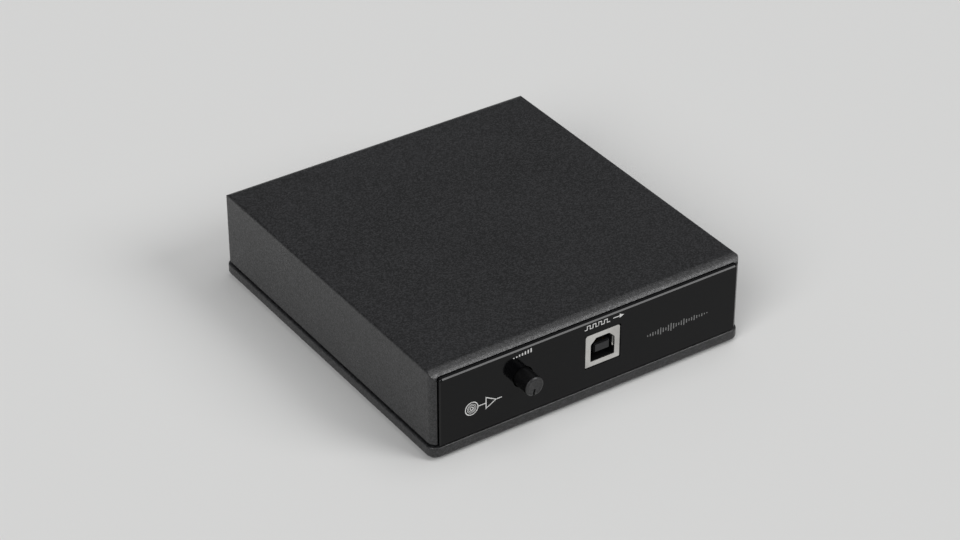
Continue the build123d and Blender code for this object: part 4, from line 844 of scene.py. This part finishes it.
pin = [(jack_back_y, 0), (jack_back_y, 1.0), (52.3, 1.0), (52.7, 0.9)]
pin += [(52.98, 0.65), (53.1, 0.3), (53.1, 0)]
centre_pin = Form().turn(pin, "Y", (jack_x, jack_z), 48).piece("power_socket_pin")
leg = rounded(jack_x - 1.0, jack_x + 1.0, jack_back_y - 0.4, jack_back_y, 0)
carve(centre_pin, Form().push(leg, "Z", lead_end_z, jack_z + 1.0), "UNION")
fit(soften(centre_pin, 0.05), cup_tin, "case", "cup_tin", "jack_pin")

# ---- Rear panel --------------------------------------
# A flat steel plate, powder coated in fine satin black, with a hole for each socket
# and plain printed signs. The sockets' blocks are screwed to it.
paint = Finish("rear_plate_paint", IOR=1.5)
orange_peel = paint.noise(1500.0, 2.0)
dust = paint.noise(4200.0, 1.0)
dusted = paint.limit(dust, 0.4, 0.7)
paint.show(
    Base_Color=paint.blend((0.011, 0.011, 0.0115), (0.024, 0.024, 0.025), dusted),
    Roughness=paint.limit(orange_peel, 0.3, 0.7, 0.42, 0.58),
)
paint.relief(orange_peel * 0.7 + dust * 0.3, 0.03)
plate_front_y = 53.9
panel_outline = rounded(-52.75, 52.75, 3.0, 28.6, 0)
plate = Form().push(panel_outline, "Y", plate_back_y, plate_front_y).piece("rear_panel_plate")
through = ("Y", 52, 55)
holes = Form()
for x in sockets.values():
    holes.push(ring(x, socket_z, 4.7, 80), *through)
for x, z, radius in ((jack_x, jack_z, 4.5), (post_x, socket_z, 2.3)):
    holes.push(ring(x, z, radius, 72), *through)
block_screws = {"socket_screw_line": (-block_x, 22.3), "socket_screw_phono": (block_x, 22.3)}
for x, z in block_screws.values():
    holes.push(ring(x, z, 1.7, 40), *through)
carve(plate, holes)
fit(soften(plate, 0.08), paint.material, "case", "rear_plate_paint", "rear_panel")
for name, place in block_screws.items():
    screw = pan_screw(name, "Y", place, plate_front_y, reach=8.3, head_radius=2.6, head_height=1.6)
    fit(screw, zinc, "case", "bright_screw", "socket_screws")


def ink(name, colour, worn):
    """Screen-printed ink, a little thin in places."""
    printed = Finish(name, IOR=1.5)
    thin = printed.noise(1600.0, 3.0)
    printed.show(
        Base_Color=printed.blend(worn, colour, printed.limit(thin, 0.3, 0.5)),
        Roughness=printed.limit(thin, 0.3, 0.7, 0.4, 0.55),
    )
    printed.relief(thin, 0.004)
    return printed.material


class Sign:
    """Printed marks on an upright face. Across runs to the reader's right."""

    def __init__(self, y, out):
        self.form = Form()
        self.reach = (y - out * 0.05, y + out * 0.02)
        self.across = -out

    def fill(self, outline):
        """A solid mark."""
        self.form.push([(self.across * a, b) for a, b in outline], "Y", *self.reach)

    def line(self, path, width, closed=False):
        """A line of even width along a path, mitred where it turns."""
        points = [Vector(point) for point in path]
        ways = [(b - a).normalized() for a, b in zip(points, points[1:] + points[:1])]
        edges = []
        for i, point in enumerate(points):
            first = ways[i - 1] if i or closed else ways[0]
            last = ways[i] if i < len(points) - 1 or closed else first
            way = (first + last).normalized()
            beside = Vector((-way.y, way.x)) * (width / 2 / max(0.4, way.dot(first)))
            edges.append((tuple(point + beside), tuple(point - beside)))
        ends = edges[1:] + edges[:1] if closed else edges[1:]
        for (left, right), (next_left, next_right) in zip(edges, ends):
            self.fill([left, next_left, next_right, right])

    def hoop(self, a, b, radius, width):
        """A circle of even width."""
        inner, outer = radius - width / 2, radius + width / 2
        low, high = self.reach
        profile = [(low, inner), (low, outer), (high, outer), (high, inner)]
        self.form.turn(profile, "Y", (self.across * a, b), 64)


pale_ink = ink("print_pale", (0.62, 0.62, 0.61), (0.42, 0.42, 0.41))
rear_signs = Sign(plate_front_y, 1)

# L or R over each socket.
for node, x in sockets.items():
    a, low, tall, thick = -x, 25.0, 1.7, 0.3
    if node.endswith("left"):
        rear_signs.line([(a - 0.45, low + tall), (a - 0.45, low), (a + 0.55, low)], thick)
    else:
        rear_signs.line([(a - 0.5, low - thick / 2), (a - 0.5, low + tall)], thick)
        over = [(a - 0.5, low + tall), (a + 0.05, low + tall)]
        bow = reversed(ring(a + 0.05, low + tall - 0.45, 0.45, 32, -78.75)[:15])
        under = [(a + 0.05, low + tall - 0.9), (a - 0.5, low + tall - 0.9)]
        rear_signs.line([*over, *bow, *under], thick)
        rear_signs.line([(a + 0.05, low + 0.8), (a + 0.55, low - thick / 2)], thick)

# A socket with an arrow to it for the input, and one with an arrow from it for the output,
# each in a bracket. Then an earth sign, and a long bar over three short ones for direct current.
sign_z = 11.6
for a, inward in ((block_x, -1), (-block_x, 1)):
    rear_signs.hoop(a - 1.9, sign_z, 1.1, 0.28)
    rear_signs.fill(ring(a - 1.9, sign_z, 0.42, 24))
    tail, tip = (a + 3.3, a + 0.2) if inward == 1 else (a - 0.2, a + 2.9)
    shoulder = tip + 1.1 * inward
    rear_signs.line([(tail, sign_z), (shoulder, sign_z)], 0.3)
    rear_signs.fill([(shoulder, sign_z - 0.75), (tip, sign_z), (shoulder, sign_z + 0.75)])
    for reach in (-half_pitch, half_pitch):
        rear_signs.line([(a + reach, 13.6), (a + reach, sign_z), (a + reach * 0.62, sign_z)], 0.2)
a = -post_x
rear_signs.line([(a, 13.2), (a, 11.9)], 0.28)
for z, half in ((11.9, 1.5), (11.2, 0.95), (10.5, 0.4)):
    rear_signs.line([(a - half, z), (a + half, z)], 0.28)
a = -jack_x
rear_signs.line([(a - 1.6, 12.2), (a + 1.6, 12.2)], 0.28)
for start in (-1.6, -0.4, 0.8):
    rear_signs.line([(a + start, 11.3), (a + start + 0.8, 11.3)], 0.28)
signs = rear_signs.form.piece("rear_printed_signs")
fit(soften(signs, 0), pale_ink, "case", "rear_plate_paint")

# ---- Front panel -------------------------------------
# A gloss black acrylic plate that stands a little proud through the cover's rim. A
# thinner flange behind holds it, its chamfer is polished, and its plain signs are
# screen printed.
gloss = Finish("panel_gloss", IOR=1.26)
ripple = gloss.noise(90.0, 2.0)
haze = gloss.noise(34.0, 4.0, 0.6)
speckled = gloss.limit(gloss.noise(3800.0, 1.0), 0.55, 0.8)
facing = gloss.node(
    "VectorMath",
    {"operation": "DOT_PRODUCT"},
    {0: gloss.node("NewGeometry", result="Normal"), 1: (0.0, -1.0, 0.0)},
    "Value",
)
gloss.show(
    Base_Color=gloss.blend((0.0015, 0.0015, 0.0018), (0.004, 0.004, 0.0044), speckled),
    Roughness=gloss.limit(haze, 0.35, 0.7, 0.07, 0.14),
    Coat_Weight=gloss.limit(facing, 0.78, 0.9, 0.32, 0.0),
)
gloss.relief(ripple, 0.012)
face_y, panel_back_y = -60.9, -56.6
knob_x, knob_z = -24.15, 18.3
field = rounded(-52.15, 52.15, 5.2, 28.1, 0, 0, 1.0, 1.0, steps=5)
face = rounded(-51.75, 51.75, 5.6, 27.7, 0, 0, 0.6, 0.6, steps=5)
panel = (
    Form()
    .stack("Y", (face_y, face), (face_y + 0.4, field), (bay_front_y + 0.5, field))
    .piece("front_panel_gloss")
)
carve(panel, Form().push(panel_outline, "Y", bay_front_y, panel_back_y), "UNION")
through = ("Y", -62, -56)
holes = Form().push(ring(knob_x, knob_z, 3.4, 96), *through)
holes.push(rounded(usb_x - 6.27, usb_x + 6.27, 12.05, 23.55, 0.25, steps=4), *through)
carve(panel, holes)
fit(soften(panel, 0.04), gloss.material, "case", "panel_gloss", "front_panel")

# Over the knob a row of rising bars means level, and over the USB socket a square wave
# with an arrow means digital output. A record, an amplifier and a trace stand beside.
front_signs = Sign(face_y, -1)
for bar in range(7):
    a = knob_x - 0.3 + (bar - 3) * 0.98
    front_signs.fill(rounded(a - 0.22, a + 0.22, 25.75, 26.05 + bar * 0.18, 0))
wave = [(-3.0, 25.8)]
for pulse in range(4):
    start = -2.1 + pulse * 2.0
    wave += [(start, 25.8), (start, 27.0), (start + 1.0, 27.0), (start + 1.0, 25.8)]
wave += [(5.9, 25.8)]
front_signs.line(wave, 0.26)
front_signs.line([(7.0, 26.4), (9.3, 26.4)], 0.3)
front_signs.fill([(9.3, 25.7), (10.8, 26.4), (9.3, 27.1)])
a, z = -41.6, 14.3
for radius, width in ((2.1, 0.3), (1.45, 0.16), (1.05, 0.16), (0.5, 0.3)):
    front_signs.hoop(a, z, radius, width)
front_signs.line([(a + 2.25, z), (-36.9, z)], 0.3)
front_signs.line([(-36.75, z - 1.9), (-36.75, z + 1.9), (-33.4, z)], 0.3, closed=True)
front_signs.line([(-33.1, z), (-31.4, z)], 0.3)
signs = front_signs.form.piece("front_printed_signs")
fit(soften(signs, 0), pale_ink, "case", "panel_gloss")

trace_signs = Sign(face_y, -1)
heights = (3, 5, 8, 6, 10, 14, 9, 6, 12, 16, 11, 7, 5, 9, 13, 8, 5, 7, 10, 6, 4, 6, 3, 2)
for bar, height in enumerate(heights):
    a = 19.7 + bar * 0.94
    trace_signs.fill(rounded(a - 0.17, a + 0.17, 15.3 - height * 0.085, 15.3 + height * 0.085, 0))
signs = trace_signs.form.piece("front_printed_trace")
dim_ink = ink("print_dim", (0.16, 0.16, 0.16), (0.1, 0.1, 0.1))
fit(soften(signs, 0), dim_ink, "case", "panel_gloss")

# ---- Top cover ---------------------------------------
# One moulding of the same black ABS: roof, sides, and a narrow rim round an opening at
# each end. Its ends roll down in a large radius. Four bosses reach the tray's floor.
case_half_width, rim_front_y, rim_rear_y = 54.15, -60.0, 56.1
cover_z, roof_z, roof_under_z, roof_root_z = 5.6, 30.0, 28.7, 29.2
plan = rounded(-case_half_width, case_half_width, rim_front_y, rim_rear_y, 2.5, steps=12)
cover = Form().push(plan, "Z", cover_z, roof_z + 1).piece("top_cover_moulding")
side_view = rounded(rim_front_y, rim_rear_y, cover_z - 1, roof_z, 0, 0, 4.0, 4.0, steps=20)
carve(cover, Form().push(side_view, "X", -60, 60), "INTERSECT")
end_view = rounded(-case_half_width, case_half_width, cover_z - 1, roof_z, 0, 0, 1.0, 1.0)
carve(cover, Form().push(end_view, "Y", -70, 70), "INTERSECT")
hollow = rounded(-bay_half_width, bay_half_width, bay_front_y, bay_rear_y, 0)
carve(cover, Form().push(hollow, "Z", cover_z - 1, roof_under_z))
opening = rounded(-52.45, 52.45, cover_z - 1, 28.3, 0, 0, 1.0, 1.0)
carve(cover, Form().push(opening, "Y", -70, 70))
stays = Form()
for start_y in (groove_front_y, groove_rear_y - rib_thickness):
    stay = rounded(-rib_half_width, rib_half_width, start_y, start_y + rib_thickness, 0)
    stays.push(stay, "Z", roof_under_z - 2.5, roof_root_z)
carve(cover, stays, "UNION")
webs = Form()
for x, y in boss_places:
    outer_x = math.copysign(bay_half_width + 0.4, x)
    web = rounded(*sorted((x, outer_x)), y - rib_thickness / 2, y + rib_thickness / 2, 0)
    webs.push(web, "Z", 8.8, roof_root_z)
carve(cover, webs, "UNION")
bosses = Form()
for x, y in boss_places:
    bosses.push(ring(x, y, post_radius, 48), "Z", floor_z, roof_root_z)
carve(cover, bosses, "UNION")
pilots = Form()
for x, y in boss_places:
    pilots.push(ring(x, y, pilot_radius, 24), "Z", floor_z - 1, 11.0)
carve(cover, pilots)
fit(soften(cover, 0.12), case_black, "case", "cover_plastic", "top_cover")

# ---- Case screws -------------------------------------
# Four countersunk steel screws, blackened, with cross recesses. They go up through the
# tray into the cover's bosses and pull the two mouldings together.
blackened = metal(
    "black_screw", (0.05, 0.05, 0.052), (0.09, 0.085, 0.08), sheen=(0.32, 0.5), marks=3.0, depth=0.006
)
for i, (x, y) in enumerate(boss_places):
    profile = [(1.1, 0), (1.1, 2.55), (1.2, 2.7), (2.6, shank_radius), (9.8, shank_radius), (11.0, 0)]
    screw = Form().turn(profile, "Z", (x, y), 48).piece(f"case_screw_{i + 1}")
    for across, deep in cross:
        slot = rounded(x - across, x + across, y - deep, y + deep, 0.2, steps=3)
        carve(screw, Form().push(slot, "Z", 0.5, 2.1))
    fit(soften(screw, 0.05), blackened, "case", "black_screw", "case_screws")

# ---- Level knob --------------------------------------
# A slim knob of black plastic, pushed on to the flatted shaft. Its side is smooth and its
# face is finely textured, and the pointer is a notch cut in from the rim. Its face and rim
# are a paler copy of the same plastic, a painted highlight.
knob_front_y, knob_back_y, knob_radius = -66.9, -57.5, 3.05
profile = [(knob_back_y, 0), (knob_back_y, 2.95), (knob_back_y - 0.1, knob_radius)]
rim = ((0.5, knob_radius), (0.4, 3.03), (0.1, 2.73), (0, 2.55), (0, 2.2), (0.1, 2.1), (0.1, 0))
profile += [(knob_front_y + deep, radius) for deep, radius in rim]
knob = Form().turn(profile, "Y", (knob_x, knob_z), 96).piece("level_knob_turned")
notch_turn = math.radians(-102)
notch_half_width, notch_depth = 0.4, 0.5
way = Vector((math.cos(notch_turn), math.sin(notch_turn)))
beside = Vector((-way.y, way.x)) * notch_half_width
inner_end, outer_end = (Vector((knob_x, knob_z)) + way * reach for reach in (0.7, 3.6))
corners = (inner_end - beside, outer_end - beside, outer_end + beside, inner_end + beside)
notch = [tuple(corner) for corner in corners]
carve(knob, Form().push(notch, "Y", knob_front_y - 1, knob_front_y + notch_depth))
bore_radius, bore_flat, bore_end_y = 2.02, 1.52, -64.9
flatted = [(x, min(z, knob_z + bore_flat)) for x, z in ring(knob_x, knob_z, bore_radius)]
carve(knob, Form().push(flatted, "Y", bore_end_y, -57))
satin = moulded(
    "knob_plastic",
    (0.002, 0.002, 0.0022),
    (0.006, 0.006, 0.0063),
    sheen=(0.3, 0.4),
    grain=(0.18, 0.01),
    index=1.3,
)
fit(soften(knob, 0.06), satin, "level_control", "knob_plastic", "level_knob")
# The face, the notch and the rim's roundover: the knob's plastic made paler, a painted highlight, with a
# coarser grain.
frosted_painted_highlight = moulded(
    "knob_face_painted_highlight",
    (0.012, 0.012, 0.0125),
    (0.034, 0.034, 0.035),
    sheen=(0.3, 0.42),
    grain=(0.3, 0.02),
    index=1.4,
)
face_with(knob, frosted_painted_highlight, 0.25, knob_front_y - 0.1, knob_front_y + notch_depth + 0.05)

# ---- Setting -----------------------------------------
# The unit stands on a wide pale table top, painted matt. Three soft lamps and a pale room
# light it, and the camera looks down at its front from the left.
table_reach = 40.0
table = Finish("table_top", Base_Color=(0.7, 0.7, 0.692), Roughness=0.7)
table_form = Form()
corners = [(x * table_reach, y * table_reach, 0) for x, y in ((-1, -1), (1, -1), (1, 1), (-1, 1))]
table_form.mesh.faces.new([table_form.mesh.verts.new(corner) for corner in corners])
floor = table_form.piece("table_top")
floor.data.materials.append(table.material)

world = bpy.data.worlds.new("studio")
bpy.context.scene.world = world
world.use_nodes = True
room = world.node_tree.nodes["Background"].inputs
room["Color"].default_value = (0.86, 0.87, 0.89, 1)
room["Strength"].default_value = 0.2
for name, place, spread, strength in (
    ("left_softbox", (-0.95, -0.55, 0.8), 34, 1.65),
    ("top_softbox", (0.3, -0.1, 1.25), 50, 0.75),
    ("right_softbox", (0.6, -0.8, 0.7), 30, 1.3),
):
    lamp = bpy.data.lights.new(name, "SUN")
    lamp.angle = math.radians(spread)
    lamp.energy = strength
    holder = bpy.data.objects.new(name, lamp)
    holder.location = place
    holder.rotation_euler = (-Vector(place)).to_track_quat("-Z", "Y").to_euler()
    bpy.context.scene.collection.objects.link(holder)

camera = bpy.data.cameras.new("camera")
camera.lens = 105.776
camera.sensor_width = 36
camera.clip_start = 0.01
viewer = bpy.data.objects.new("camera", camera)
viewer.location = (-0.3945, -0.59105, 0.48186)
viewer.rotation_euler = (math.radians(56.53), 0, math.radians(-33.86))
bpy.context.scene.collection.objects.link(viewer)
bpy.context.scene.camera = viewer
bpy.context.scene.view_settings.view_transform = "Standard"

bpy.context.view_layer.update()
